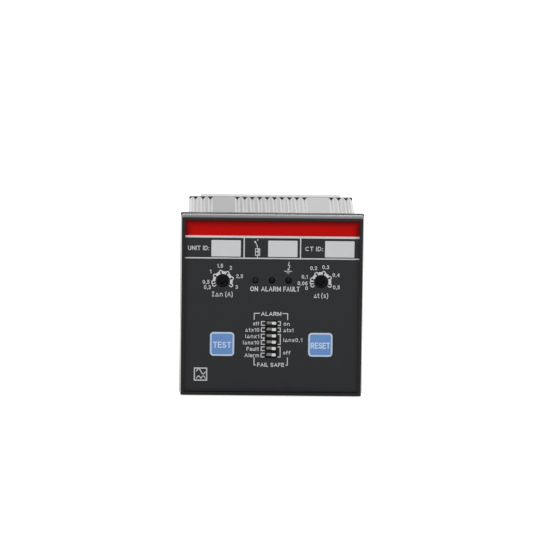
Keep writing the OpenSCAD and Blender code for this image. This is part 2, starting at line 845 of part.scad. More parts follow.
// Metal clamps of a row: a plate with the screw's thread and a step behind the wire entry
module clamps(poles) {
    for (i = [0:poles - 1]) translate([pole_x(i, poles), 0, 0]) difference() {
        translate([0, 0, clamp_mid]) block(clamp_w, clamp_h, clamp_y[0], clamp_y[1]);
        translate([0, 0, screw_z]) rod(thread_d + 0.1, clamp_y[0] - 1, clamp_y[1] + 1);
        translate([0, 0, entry_height]) block(entry_w - 1, entry_w - 1, clamp_y[0] + 1, clamp_y[1] + 1);
    }
}

// Slotted screws of a row, their heads on the shoulders in the plug
module clamp_screws(poles) {
    for (i = [0:poles - 1]) translate([pole_x(i, poles), 0, screw_z]) {
        rod(thread_d, clamp_y[0], head_y + 0.01);
        difference() {
            rod(head_d, head_y, head_y + 1.8);
            block(4, 0.7, head_y + 0.9, head_y + 3);
        }
    }
}

module upper_plug() { color([0.83, 0.83, 0.82]) place() terminal_plug(upper_poles); }
module upper_clamps() { color([0.7, 0.7, 0.68]) place() clamps(upper_poles); }
module upper_screws() { color([0.75, 0.75, 0.73]) place() clamp_screws(upper_poles); }
module lower_plug() { color([0.83, 0.83, 0.82]) place() lower_row() terminal_plug(lower_poles); }
module lower_clamps() { color([0.7, 0.7, 0.68]) place() lower_row() clamps(lower_poles); }
module lower_screws() { color([0.75, 0.75, 0.73]) place() lower_row() clamp_screws(lower_poles); }

// Puts a piece on the power board, whose inner face looks up
module on_power(at) {
    place() translate([at[0], at[1], -board_z + board_t / 2]) children();
}

// Laminated core with two windows beside its middle leg
module transformer_core() {
    color([0.45, 0.45, 0.47]) on_power(core_at) difference() {
        stand(core_w, core_t, core_h);
        for (side = [-1, 1]) translate([side * (leg_w + window_w) / 2, 0, (core_h - window_h) / 2])
            stand(window_w, core_t + 2, window_h);
    }
}

module transformer_bobbin() {
    low = (core_h - window_h) / 2;
    flange_wx = leg_w + 2 * window_w - 0.2;
    flange_wy = core_t + 2 * coil_reach;
    color([0.12, 0.12, 0.13]) on_power(core_at) {
        difference() {
            translate([0, 0, low]) {
                stand(leg_w + bobbin_t, core_t + bobbin_t, window_h);
                for (z = [0, window_h - flange_t])
                    translate([0, 0, z]) stand(flange_wx, flange_wy, flange_t);
            }
            translate([0, 0, low - 1]) stand(leg_w + 0.1, core_t + 0.1, window_h + 2);
        }
        // Feet that carry the bobbin's pins
        for (side = [-1, 1]) translate([0, side * (flange_wy - 3.5) / 2, 0])
            stand(flange_wx, 3.5, low + 0.01);
    }
}

module transformer_winding() {
    low = (core_h - window_h) / 2 + flange_t;
    color([0.85, 0.7, 0.25]) on_power(core_at) translate([0, 0, low]) difference() {
        linear_extrude(window_h - 2 * flange_t)
            round_square(leg_w + 2 * window_w - 0.8, core_t + 2 * coil_reach - 1.2, 2);
        translate([0, 0, -1]) stand(leg_w + bobbin_t, core_t + bobbin_t, window_h);
    }
}

// Relay: a cover over a slightly wider base
module relay() {
    linear_extrude(3) round_square(relay_w, relay_len, 0.6);
    translate([0, 0, 2.9]) linear_extrude(relay_h - 2.9) round_square(relay_w - 0.5, relay_len - 0.5, 1);
}

module trip_relay() { color([0.12, 0.12, 0.13]) on_power([trip_x, relay_y + relay_len / 2]) relay(); }
module alarm_relay() { color([0.12, 0.12, 0.13]) on_power([alarm_x, relay_y + relay_len / 2]) relay(); }

// Electrolytic capacitor: a can with a rolled groove near its foot and a rounded rim
module main_capacitor() {
    r = 6.2;
    h = 20;
    color([0.15, 0.17, 0.3]) on_power(capacitor_at) rotate_extrude() polygon(concat(
        [[0, 0], [r, 0], [r, 1.6], [r - 0.7, 2.2], [r, 2.8]],
        [for (i = [0:5]) [r - 0.8 + 0.8 * cos(90 * i / 5), h - 0.8 + 0.8 * sin(90 * i / 5)]],
        [[0, h]]));
}

module varistor() {
    d = 11;
    color([0.1, 0.3, 0.55]) on_power(varistor_at) {
        translate([0, 0, d / 2 + 1.5]) rod(d, -2.2, 2.2);
        for (side = [-1, 1]) translate([side * 3.7, side * 0.7, 0]) stand(0.8, 0.8, 4.5);
    }
}

module rectifier() {
    color([0.11, 0.11, 0.11]) on_power(rectifier_at) {
        difference() {
            translate([0, 0, 0.6]) stand(8.5, 6.5, 3.4);
            translate([-4.25, 0, 3.4]) rotate([0, 45, 0]) cube([1, 8, 1], center = true);
        }
        for (x = [-2.5, 2.5], y = [-3.6, 3.6]) translate([x, y, 0]) stand(1, 1, 1.2);
    }
}

front_frame();
panel_seal();
label_film();
header_field();
label_print();
write_on_tags();
test_key();
test_key_pad();
test_switch();
test_plunger();
reset_key();
reset_key_pad();
reset_switch();
reset_plunger();
current_dial();
current_trimmer();
time_dial();
time_trimmer();
lamp_on();
lamp_alarm();
lamp_fault();
lamp_spacers();
lamp_leads();
dip_body();
dip_slide_1();
dip_slide_2();
dip_slide_3();
dip_slide_4();
dip_slide_5();
dip_slide_6();
dip_pins();
front_board();
board_screws();
housing();
rear_cover();
signal_board();
power_board();
board_links();
link_pins();
processor();
amplifiers();
upper_header();
lower_header();
header_pins();
upper_plug();
upper_clamps();
upper_screws();
lower_plug();
lower_clamps();
lower_screws();
transformer_core();
transformer_bobbin();
transformer_winding();
trip_relay();
alarm_relay();
main_capacitor();
varistor();
rectifier();
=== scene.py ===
"""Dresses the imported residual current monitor, lights it and sets the camera as in the photograph.

Positions on the object are in millimetres in the panel frame: X to the right, Y from the front rim back
into the panel, Z up, with the centre of the front at zero. Surface.piece() turns them into metres in the
row frame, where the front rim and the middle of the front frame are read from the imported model.
"""

import logging
import math
from dataclasses import dataclass
from enum import Enum
from typing import Any, Callable, Optional, Union

import bmesh
import bpy
import numpy as np
from bpy.types import Material, NodeSocket
from mathutils import Matrix, Vector


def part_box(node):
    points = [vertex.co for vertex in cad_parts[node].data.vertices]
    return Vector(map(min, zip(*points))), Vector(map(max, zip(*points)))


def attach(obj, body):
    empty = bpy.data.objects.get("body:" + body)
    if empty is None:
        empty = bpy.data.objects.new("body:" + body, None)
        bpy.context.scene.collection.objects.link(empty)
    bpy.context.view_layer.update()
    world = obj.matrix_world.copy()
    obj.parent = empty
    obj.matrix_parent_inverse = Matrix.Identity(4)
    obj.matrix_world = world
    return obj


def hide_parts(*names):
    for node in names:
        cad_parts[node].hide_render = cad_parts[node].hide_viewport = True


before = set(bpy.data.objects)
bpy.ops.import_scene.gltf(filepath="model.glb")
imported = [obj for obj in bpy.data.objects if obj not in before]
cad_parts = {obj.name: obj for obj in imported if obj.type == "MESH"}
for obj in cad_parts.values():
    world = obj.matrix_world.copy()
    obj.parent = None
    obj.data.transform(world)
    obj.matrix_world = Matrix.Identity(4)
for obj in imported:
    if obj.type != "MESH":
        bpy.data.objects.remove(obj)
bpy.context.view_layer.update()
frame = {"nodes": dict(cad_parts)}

log = logging.getLogger("monitor")

Colour = tuple[float, float, float]
Linear = tuple[float, float, float, float]
Triple = tuple[float, float, float]
Pair = tuple[float, float]
MM = 0.001

# Metres below which two points are one, and below which an edge has no length.
SAME_POINT = 1e-7
NO_LENGTH = 1e-8
# Millimetres of the tightest corner of an inset outline.
TIGHTEST = 0.02
# Millimetres below which two points of a path are one, and below which its ends meet.
APART = 1e-4
MEETING = 1e-3
# Least cosine of half a bend that a stroke's mitre follows: a sharper corner is cut back to it.
MITRE = 0.6


class Body(Enum):
    """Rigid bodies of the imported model."""

    CASE = "case"
    TEST_KEY = "test_key"
    RESET_KEY = "reset_key"


class Align(Enum):
    """Which point of a word its place names."""

    LEFT = 0.0
    CENTRE = 0.5
    RIGHT = 1.0


def linear(colour: Colour) -> Linear:
    """Turns a colour in 8-bit sRGB into the linear values that a shader takes.

    Args:
        colour: Red, green and blue, from 0 to 255.

    Returns:
        Linear red, green, blue and an alpha of one.
    """
    share = np.asarray(colour, float) / 255
    value = np.where(share <= 0.04045, share / 12.92, ((share + 0.055) / 1.055) ** 2.4)
    return (float(value[0]), float(value[1]), float(value[2]), 1.0)


def toned(colour: Colour, factor: float, lift: float = 0.0) -> Linear:
    """Linear colour, with its values times factor and plus lift, but none above one."""
    return tuple(min(1.0, part * factor + lift) for part in linear(colour)[:3]) + (1.0,)


def front_middle() -> np.ndarray:
    """Middle of the front rim in row metres: the frame's middle in X and Z, at its lowest Y."""
    low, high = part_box("front_frame")
    return np.array([(low.x + high.x) / 2, low.y, (low.z + high.z) / 2])


def linked(name: str, data: bpy.types.ID) -> bpy.types.Object:
    """Makes an object.

    Args:
        name: Its name.
        data: Its mesh, camera or light.

    Returns:
        The object, in the scene.
    """
    made = bpy.data.objects.new(name, data)
    bpy.context.scene.collection.objects.link(made)
    return made


# Shader maths


def maths(operation: str, reflected: bool = False) -> Callable[..., "Value"]:
    """Makes a method of Value.

    Args:
        operation: Operation of the Math node that the method adds.
        reflected: Whether the Value itself is the node's second input.

    Returns:
        The method, which takes another Value or a number where the operation has two inputs.
    """

    def method(self: "Value", other: Any = 0.0) -> "Value":
        """Adds the node and wraps its result."""
        inputs = {0: other, 1: self} if reflected else {0: self, 1: other}
        return self.recipe.value("ShaderNodeMath", {"operation": operation}, inputs)

    return method


class Value:
    """A number that changes over a surface. Python's operators on it add Math nodes."""

    __add__ = __radd__ = maths("ADD")
    __sub__ = maths("SUBTRACT")
    __rsub__ = maths("SUBTRACT", reflected=True)
    __mul__ = __rmul__ = maths("MULTIPLY")
    __pow__ = maths("POWER")
    sine = maths("SINE")
    size = maths("ABSOLUTE")
    smaller = maths("MINIMUM")
    larger = maths("MAXIMUM")

    def __init__(self, recipe: "Recipe", socket: NodeSocket) -> None:
        """Wraps an output socket of a recipe."""
        self.recipe = recipe
        self.socket = socket

    def rise(self, low: float, high: float) -> "Value":
        """Smooth step: zero below low, one above high and a smooth curve between them."""
        inputs = {"Value": self, "From Min": low, "From Max": high}
        return self.recipe.value("ShaderNodeMapRange", {"interpolation_type": "SMOOTHSTEP"}, inputs)


class Recipe:
    """The node tree of a material or of the world, with one method that makes its nodes."""

    def __init__(self, owner: Union[Material, bpy.types.World]) -> None:
        """Empties the owner's node tree.

        Args:
            owner: The material or the world.
        """
        self.owner = owner
        owner.use_nodes = True
        self.tree = owner.node_tree
        self.tree.nodes.clear()
        self._place: Optional[NodeSocket] = None

    @classmethod
    def material(cls, name: str) -> "Recipe":
        """Starts a new material of that name."""
        return cls(bpy.data.materials.new(name))

    def node(
        self,
        kind: str,
        settings: Optional[dict[str, Any]] = None,
        inputs: Optional[dict[Union[str, int], Any]] = None,
    ) -> bpy.types.Node:
        """Makes one node.

        Args:
            kind: The node's type.
            settings: Its properties, which are set before the sockets.
            inputs: A number, a vector, a colour, a Value or an output socket for each named socket.

        Returns:
            The node.
        """
        made = self.tree.nodes.new(kind)
        for name, setting in (settings or {}).items():
            setattr(made, name, setting)
        for name, value in (inputs or {}).items():
            source = value.socket if isinstance(value, Value) else value
            if isinstance(source, NodeSocket):
                self.tree.links.new(source, made.inputs[name])
            else:
                made.inputs[name].default_value = source
        return made

    def value(self, *node: Any) -> Value:
        """First output of a new node, from what node() takes."""
        return Value(self, self.node(*node).outputs[0])

    def place(self) -> NodeSocket:
        """Object coordinates.

        Returns:
            Their socket, in metres, from one node for the whole recipe.
        """
        if self._place is None:
            self._place = self.node("ShaderNodeTexCoord").outputs["Object"]
        return self._place

    def along(self, axis: int) -> Value:
        """Coordinate of the row frame in millimetres, where axis is 0 for X, 1 for Y and 2 for Z."""
        parts = self.node("ShaderNodeSeparateXYZ", None, {0: self.place()})
        return Value(self, parts.outputs[axis]) * (1 / MM)

    def reach(self, middle: float) -> Value:
        """Larger of the distances along X and Z from an axis along Y at that height."""
        return self.along(0).size().larger((self.along(2) - middle).size())

    def noise(self, size: float, detail: float = 2, stretch: Triple = (1, 1, 1)) -> Value:
        """Noise over the surface.

        Args:
            size: Width of its patches in millimetres.
            detail: Number of finer layers.
            stretch: How much finer it is along X, Y and Z.

        Returns:
            The noise, from about 0.2 to 0.8 and 0.5 in the middle.
        """
        scale = tuple(part / (size * MM) for part in stretch)
        mapped = self.node("ShaderNodeMapping", None, {"Vector": self.place(), "Scale": scale}).outputs[0]
        return self.value("ShaderNodeTexNoise", None, {"Vector": mapped, "Scale": 1.0, "Detail": detail})

    def specks(self, size: float) -> Value:
        """Distance from the middle of scattered cells, size millimetres wide: zero to about one."""
        return self.value("ShaderNodeTexVoronoi", None, {"Vector": self.place(), "Scale": 1 / (size * MM)})

    def blend(self, share: Any, first: Any, second: Any) -> NodeSocket:
        """Mix of two linear colours or sockets, where share is 0 for the first and 1 for the second."""
        node = self.node("ShaderNodeMix", {"data_type": "RGBA"}, {0: share, 6: first, 7: second})
        return node.outputs[2]

    def shaded(self, share: Any, colour: Colour, factor: float, lift: float = 0.0) -> NodeSocket:
        """Mix of a colour in 8-bit sRGB and, by share, the same colour toned."""
        return self.blend(share, linear(colour), toned(colour, factor, lift))

    def rounded(self, radius: float) -> tuple[NodeSocket, Value]:
        """Rounds the edges in the shading.

        Args:
            radius: Radius of the edges in millimetres.

        Returns:
            The softened normal, and a mask that is above zero only on the edges.
        """
        soft = self.node("ShaderNodeBevel", {"samples": 4}, {"Radius": radius * MM}).outputs[0]
        plain = self.node("ShaderNodeNewGeometry").outputs["True Normal"]
        turned = self.node("ShaderNodeVectorMath", {"operation": "DOT_PRODUCT"}, {0: soft, 1: plain})
        return soft, (1 - Value(self, turned.outputs["Value"])).rise(0.01, 0.25)

    def bump(self, height: Value, depth: float, normal: Any = None) -> NodeSocket:
        """Raises a surface in the shading.

        Args:
            height: Height, from 0 to 1.
            depth: Height of one, in millimetres.
            normal: The normal to start from, if there is one.

        Returns:
            The new normal.
        """
        inputs = {"Height": height, "Distance": depth * MM, "Strength": 1.0}
        if normal is not None:
            inputs["Normal"] = normal
        return self.node("ShaderNodeBump", None, inputs).outputs[0]

    def finish(self, **inputs: Any) -> Material:
        """Ends the material with a Principled shader.

        Args:
            **inputs: The shader's sockets, with _ for a space in a name.

        Returns:
            The material.
        """
        named = {name.replace("_", " "): value for name, value in inputs.items()}
        shader = self.node("ShaderNodeBsdfPrincipled", None, named)
        self.node("ShaderNodeOutputMaterial", None, {"Surface": shader.outputs[0]})
        return self.owner


# Finishes


@dataclass(frozen=True)
class Moulding:
    """Moulded plastic with a fine grain, faint flow marks and lighter edges.

    Colours are 8-bit sRGB. The widths of the grain, the edges and the flow marks are in millimetres.
    Edges wear towards a linear grey, by edge_light.
    """

    name: str
    colour: Colour
    roughness: float = 0.5
    gloss: float = 0.5
    grain: float = 0.22
    depth: float = 0.006
    mottle: float = 0.06
    edge: float = 0.12
    edge_light: float = 0.25
    coat: float = 0.0
    flow: float = 9.0
    worn_grey: float = 0.75

    def material(self) -> Material:
        """Builds the plastic.

        Returns:
            The material.
        """
        recipe = Recipe.material(self.name)
        normal, edges = recipe.rounded(self.edge)
        flow = recipe.noise(self.flow, 3, (1, 0.35, 1))
        grain = recipe.noise(self.grain, 2)
        dark, light = toned(self.colour, 1 - self.mottle), toned(self.colour, 1 + self.mottle)
        fade = self.edge_light * 0.3
        worn = toned(self.colour, 1 - fade, self.worn_grey * fade)
        body = self.tinted(recipe, recipe.blend(flow.rise(0.3, 0.7), dark, light))
        return recipe.finish(
            Base_Color=recipe.blend(edges * self.edge_light, body, worn),
            Roughness=self.roughness + (flow - 0.5) * 0.12 + (grain - 0.5) * 0.16,
            Normal=recipe.bump(grain, self.depth, normal),
            Specular_IOR_Level=self.gloss,
            Coat_Weight=self.coat,
            Coat_Roughness=0.15,
        )

    def tinted(self, recipe: Recipe, body: NodeSocket) -> NodeSocket:
        """Colour of the plastic away from its edges: here it is the same all over."""
        return body


@dataclass(frozen=True)
class RibbedMoulding(Moulding):
    """Moulded box with painted light in the grooves of its four sides.

    half is half of the box's width over its ridges, about an axis along Y at the height middle. The
    plastic turns light between the depths rounding and wall, by share at most: painted light in the
    grooves. The ridges and the flats take the darkened colour, a painted shade, in between the two
    ranges of X that unshaded gives.
    """

    half: float = 32.9
    middle: float = 36.0
    rounding: float = 0.02
    wall: float = 0.3
    light: Colour = (236, 236, 235)
    share: float = 0.66
    darkened: Colour = (175, 175, 176)
    unshaded: tuple[Pair, Pair] = ((-24.0, -30.0), (-8.0, 18.0))

    def tinted(self, recipe: Recipe, body: NodeSocket) -> NodeSocket:
        """Paints light into the grooves and shade onto the flats.

        Args:
            recipe: The material's recipe.
            body: Colour on the ridges.

        Returns:
            The colour, with painted shade between the unshaded ranges, where the share of painted light
            grows with the depth under the nearest side.
        """
        # Painted light: the colour turns lighter with the depth of the grooves.
        depth = (self.half - recipe.reach(self.middle)).rise(self.rounding, self.wall)
        # Painted shade: the ridges and flats take the darkened colour between the unshaded ranges of X.
        left, right = [recipe.along(0).rise(start, end) for start, end in self.unshaded]
        outside = recipe.blend(left.larger(right), linear(self.darkened), body)
        return recipe.blend(depth * self.share, outside, linear(self.light))


@dataclass(frozen=True)
class PrintedFilm:
    """Polyester film with a fine emboss, or ink on it, with a slightly uneven lay-down.

    shade is a painted shade that darkens it before the frame, where the frame's rim shades the recessed
    film: from border millimetres inside the film's edge to the place darkest, which lies outside it. half
    is half of the film's width and middle the height of its middle. The clouds of the lay-down are cloud
    millimetres wide.
    """

    name: str
    colour: Colour
    roughness: float = 0.5
    gloss: float = 0.1
    emboss: float = 0.14
    depth: float = 0.003
    uneven: float = 0.04
    shade: float = 0.0
    border: float = 2.6
    darkest: float = -0.9
    half: float = 34.2
    middle: float = 36.12
    cloud: float = 3.5

    def material(self) -> Material:
        """Builds the film or the ink.

        Returns:
            The material.
        """
        recipe = Recipe.material(self.name)
        cloud = recipe.noise(self.cloud, 3)
        cells = recipe.specks(self.emboss)
        pores = (1 - cells.rise(0.0, 0.12)) * 0.35
        bare = (cloud.rise(0.35, 0.75) * 0.5 + pores).smaller(1.0)
        tone = recipe.shaded(bare, self.colour, 1 - 2 * self.uneven)
        # Painted shade: the film or ink darkens towards the frame's rim, standing in for the rim's shadow.
        if self.shade:
            away = self.half - recipe.reach(self.middle)
            painted_rim_shade = (1 - away.rise(self.darkest, self.border)) * self.shade
            tone = recipe.blend(painted_rim_shade, tone, (0.0, 0.0, 0.0, 1.0))
        return recipe.finish(
            Base_Color=tone,
            Roughness=self.roughness + (cloud - 0.5) * 0.1,
            Normal=recipe.bump(cells, self.depth),
            Specular_IOR_Level=self.gloss,
        )


@dataclass(frozen=True)
class Rubber:
    """Matt rubber with a skin of fine pits and a bloom of dust, whose widths are in millimetres.

    Where the dust lies, the linear colour is multiplied by dusty and raised by dust.
    """

    name: str
    colour: Colour
    pit: float = 0.3
    bloom: float = 4.0
    dusty: float = 1.6
    dust: float = 0.004

    def material(self) -> Material:
        """Builds the rubber.

        Returns:
            The material.
        """
        recipe = Recipe.material(self.name)
        bloom = recipe.noise(self.bloom, 4)
        return recipe.finish(
            Base_Color=recipe.shaded(bloom.rise(0.4, 0.8), self.colour, self.dusty, self.dust),
            Roughness=0.5 + (bloom - 0.5) * 0.2,
            Normal=recipe.bump(recipe.specks(self.pit), 0.006),
            Specular_IOR_Level=0.35,
        )


@dataclass(frozen=True)
class Lens:
    """Tinted clear resin of an unlit lamp, with painted light at the rim of its dome, pale times lighter.

    centre is the lamp's x and z in the row frame, and radius the dome's, in millimetres.
    """

    name: str
    colour: Colour
    centre: Pair
    radius: float = 1.25
    pale: float = 1.8

    def material(self) -> Material:
        """Builds the resin.

        Returns:
            The material, whose tint follows the distance sqrt(x^2 + z^2) from the lamp's middle.
        """
        recipe = Recipe.material(self.name)
        across = recipe.along(0) - self.centre[0]
        up = recipe.along(2) - self.centre[1]
        away = (across * across + up * up) ** 0.5 * (1 / self.radius)
        # Painted light: the lens is pale times lighter towards its rim, lifting the shade in the lamp's
        # hole.
        return recipe.finish(
            Base_Color=recipe.shaded(away.rise(0.2, 1.0), self.colour, self.pale),
            Roughness=0.2 + recipe.noise(0.8) * 0.08,
            Normal=recipe.bump(recipe.noise(1.1), 0.006),
            Specular_IOR_Level=0.08,
        )


@dataclass(frozen=True)
class SlidePlastic:
    """Pale plastic of the slides, with painted shade that greys them down in the switch's channel.

    Depths are in millimetres behind the front rim, whose place along Y is rim.
    """

    name: str
    colour: Colour
    rim: float = -38.5
    shade_start: float = 1.7
    shade_full: float = 2.4
    grey: float = 0.45

    def material(self) -> Material:
        """Builds the plastic.

        Returns:
            The material.
        """
        recipe = Recipe.material(self.name)
        # Painted shade: the slide turns grey with its depth in the channel, where the recess shades it.
        channel_shade = (recipe.along(1) - self.rim).rise(self.shade_start, self.shade_full)
        cloud = recipe.noise(0.7, 3)
        return recipe.finish(
            Base_Color=recipe.shaded(channel_shade * (0.8 + cloud * 0.4), self.colour, self.grey),
            Roughness=0.4 + cloud * 0.15,
            Normal=recipe.bump(recipe.noise(0.25), 0.003, recipe.rounded(0.08)[0]),
            Specular_IOR_Level=0.35,
        )


@dataclass(frozen=True)
class Metal:
    """Plated or bare metal with fine scratches along one axis and dull spots.

    drawn is how much finer the scratches are along X, Y and Z. Where sheet gives a thickness in
    millimetres, the metal is a stack of sheets that lie across Y.
    """

    name: str
    colour: Colour
    roughness: float = 0.3
    drawn: Triple = (4, 0.3, 4)
    sheet: float = 0.0
    scratch: float = 0.5
    spot: float = 1.6
    darkened: float = 0.6

    def material(self) -> Material:
        """Builds the metal.

        Returns:
            The material.
        """
        recipe = Recipe.material(self.name)
        scratches = recipe.noise(self.scratch, 3, self.drawn)
        spots = recipe.noise(self.spot, 4)
        tone = recipe.shaded(spots.rise(0.45, 0.8) * 0.6, self.colour, self.darkened)
        height = scratches
        if self.sheet:
            sheets = (recipe.along(1) * (2 * math.pi / self.sheet)).sine().rise(-0.9, -0.2)
            tone = recipe.blend(sheets, toned(self.colour, self.darkened), tone)
            height = scratches * 0.3 + sheets
        return recipe.finish(
            Base_Color=tone,
            Metallic=1.0,
            Roughness=self.roughness + (scratches - 0.5) * 0.2 + (spots - 0.5) * 0.15,
            Normal=recipe.bump(height, 0.01, recipe.rounded(0.08)[0]),
        )


@dataclass(frozen=True)
class CircuitBoard:
    """Glass-fibre board under solder mask, with raised tracks and tinned dots a pitch apart."""

    name: str
    mask: Colour = (22, 92, 50)
    track: Colour = (34, 122, 66)
    tin: Colour = (190, 190, 184)
    pitch: float = 2.54

    def material(self) -> Material:
        """Builds the board.

        Returns:
            The material.
        """
        recipe = Recipe.material(self.name)
        across = recipe.along(0) + recipe.noise(7, 1) * 9
        tracks = (across * (2 * math.pi / self.pitch)).sine().rise(0.55, 0.75)
        lines = tracks * recipe.noise(5, 0).rise(0.45, 0.5)
        dots = 1 - recipe.specks(self.pitch).rise(0.14, 0.18)
        body = recipe.blend(lines, linear(self.mask), linear(self.track))
        return recipe.finish(
            Base_Color=recipe.blend(dots, body, linear(self.tin)),
            Metallic=dots,
            Roughness=0.32 + recipe.noise(0.4) * 0.12,
            Normal=recipe.bump(lines + dots, 0.03),
            Specular_IOR_Level=0.5,
        )


@dataclass(frozen=True)
class Winding:
    """Wound wire under a layer of yellow tape whose laps, lap millimetres apart, show as fine steps."""

    name: str
    colour: Colour
    lap: float = 0.45
    dark: float = 0.72

    def material(self) -> Material:
        """Builds the taped winding.

        Returns:
            The material.
        """
        recipe = Recipe.material(self.name)
        laps = (recipe.along(2) * (2 * math.pi / self.lap)).sine() * 0.5 + 0.5
        seam = recipe.noise(2.5, 1)
        dark = toned(self.colour, self.dark)
        return recipe.finish(
            Base_Color=recipe.blend(laps * 0.5 + seam * 0.3, dark, linear(self.colour)),
            Roughness=0.3 + seam * 0.1,
            Normal=recipe.bump(laps, 0.04),
            Coat_Weight=0.3,
            Coat_Roughness=0.2,
        )


Finish = Union[Moulding, PrintedFilm, Rubber, Lens, Metal, CircuitBoard, Winding]


# Surfaces


@dataclass
class Surface:
    """Points in the panel frame, in millimetres, and the faces between them.

    corners lists the points of every face, one face after the other, and sizes how many each has.
    """

    points: np.ndarray
    corners: np.ndarray
    sizes: np.ndarray

    def __add__(self, other: "Surface") -> "Surface":
        """Both surfaces as one."""
        return Surface(
            np.concatenate([self.points, other.points]),
            np.concatenate([self.corners, other.corners + len(self.points)]),
            np.concatenate([self.sizes, other.sizes]),
        )

    def moved(self, x: float = 0, y: float = 0, z: float = 0) -> "Surface":
        """The surface, moved by that much."""
        return Surface(self.points + np.array([x, y, z]), self.corners, self.sizes)

    def piece(
        self,
        name: str,
        material: Material,
        body: str,
        slot: str,
        replaced: tuple[str, ...] = (),
        smooth: float = 35,
    ) -> None:
        """Puts the surface into the scene as a piece at the origin, with its place in its mesh.

        Args:
            name: The piece's name.
            material: Its finish.
            body: The rigid body that it moves with.
            slot: The record's material slot of its finish; not used.
            replaced: The CAD nodes that it stands for.
            smooth: The edge angle in degrees above which an edge stays sharp.
        """
        mesh = bpy.data.meshes.new(name)
        mesh.vertices.add(len(self.points))
        mesh.loops.add(len(self.corners))
        mesh.polygons.add(len(self.sizes))
        mesh.vertices.foreach_set("co", to_row(self.points).astype(np.float32).ravel())
        mesh.loops.foreach_set("vertex_index", self.corners.astype(np.int32))
        starts = np.concatenate([[0], np.cumsum(self.sizes)[:-1]])
        mesh.polygons.foreach_set("loop_start", starts.astype(np.int32))
        mesh.update(calc_edges=True)
        mesh.validate()
        work = bmesh.new()
        work.from_mesh(mesh)
        bmesh.ops.remove_doubles(work, verts=work.verts, dist=SAME_POINT)
        bmesh.ops.dissolve_degenerate(work, edges=work.edges, dist=NO_LENGTH)
        bmesh.ops.recalc_face_normals(work, faces=work.faces)
        work.to_mesh(mesh)
        work.free()
        mesh.shade_smooth()
        mesh.set_sharp_from_angle(angle=math.radians(smooth))
        mesh.materials.append(material)
        made = linked(name, mesh)
        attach(made, body)
        if replaced:
            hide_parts(*replaced)
        log.info("%s: %d faces on %s", name, len(mesh.polygons), body)


def to_row(points: np.ndarray) -> np.ndarray:
    """Points in panel millimetres, one in each row, turned into row metres."""
    return points * MM + front_middle()


def together(parts: list[Surface]) -> Surface:
    """All the surfaces, at least one, as one."""
    return sum(parts[1:], parts[0])


def lattice(points: np.ndarray, closed_rows: bool = False, closed_columns: bool = False) -> Surface:
    """Faces between neighbours on a grid of points.

    Args:
        points: Grid of rows, columns and three coordinates.
        closed_rows: Whether the last row joins the first.
        closed_columns: Whether the last column joins the first.

    Returns:
        The surface of quadrilaterals (row, column), (row, column + 1), (row + 1, column + 1) and
        (row + 1, column).
    """
    rows, columns = points.shape[:2]
    row = np.arange(rows if closed_rows else rows - 1)[:, None]
    column = np.arange(columns if closed_columns else columns - 1)[None, :]
    below = (row + 1) % rows
    right = (column + 1) % columns
    corners = np.stack(
        [row * columns + column, row * columns + right, below * columns + right, below * columns + column],
        axis=-1,
    )
    count = corners.shape[0] * corners.shape[1]
    return Surface(points.reshape(-1, 3), corners.reshape(-1), np.full(count, 4))


def arc(start: float, end: float, steps: int) -> np.ndarray:
    """Rows of cosine and sine at that many angles between two, which are in degrees."""
    angle = np.radians(np.linspace(start, end, steps))
    return np.stack([np.cos(angle), np.sin(angle)], axis=1)


def bend(radius: float, start: float, end: float, steps: int, inset: float, front: float) -> np.ndarray:
    """Quarter round of a profile.

    Args:
        radius: Its radius.
        start: First angle in degrees: 180 is outwards, 90 to the front and 0 inwards.
        end: Last angle in degrees.
        steps: Number of points.
        inset: Inset of its centre.
        front: Depth of its foremost point.

    Returns:
        Rows of inset and depth: the centre plus the radius times the unit circle.
    """
    turn = arc(start, end, steps) * radius
    return np.stack([inset + turn[:, 0], front + radius - turn[:, 1]], axis=1)


def round_outline(width: float, height: float, radius: float, steps: int = 10) -> np.ndarray:
    """Outline of a rounded rectangle in X and Z, anticlockwise from the right.

    Args:
        width: Size along X.
        height: Size along Z.
        radius: Radius of the corners.
        steps: Points in each corner.

    Returns:
        Rows of x and z: each corner's centre plus the radius times a quarter of the unit circle.
    """
    turns = [0, 90, 180, 270]
    signs = np.array([[1, 1], [-1, 1], [-1, -1], [1, -1]])
    centres = signs * (np.array([width, height]) / 2 - radius)
    corners = [centre + radius * arc(turn, turn + 90, steps) for centre, turn in zip(centres, turns)]
    return np.concatenate(corners)


def carried(width: float, height: float, radius: float, profile: np.ndarray) -> Surface:
    """Profile carried round a rounded rectangle, and closed at both ends.

    Args:
        width: Size of the path along X.
        height: Size of the path along Z.
        radius: Radius of the path's corners.
        profile: Rows of inset and depth, where the path is moved inwards by the inset.

    Returns:
        The surface: point = path at that inset, at the profile's depth. Both ends run on to the middle
        of the path.
    """
    rings = []
    for inset, depth in profile:
        ring = round_outline(width - 2 * inset, height - 2 * inset, max(radius - inset, TIGHTEST))
        rings.append(np.insert(ring, 1, depth, axis=1))
    first, last = rings[0] * [0, 1, 0], rings[-1] * [0, 1, 0]
    return lattice(np.stack([first, *rings, last]), closed_columns=True)


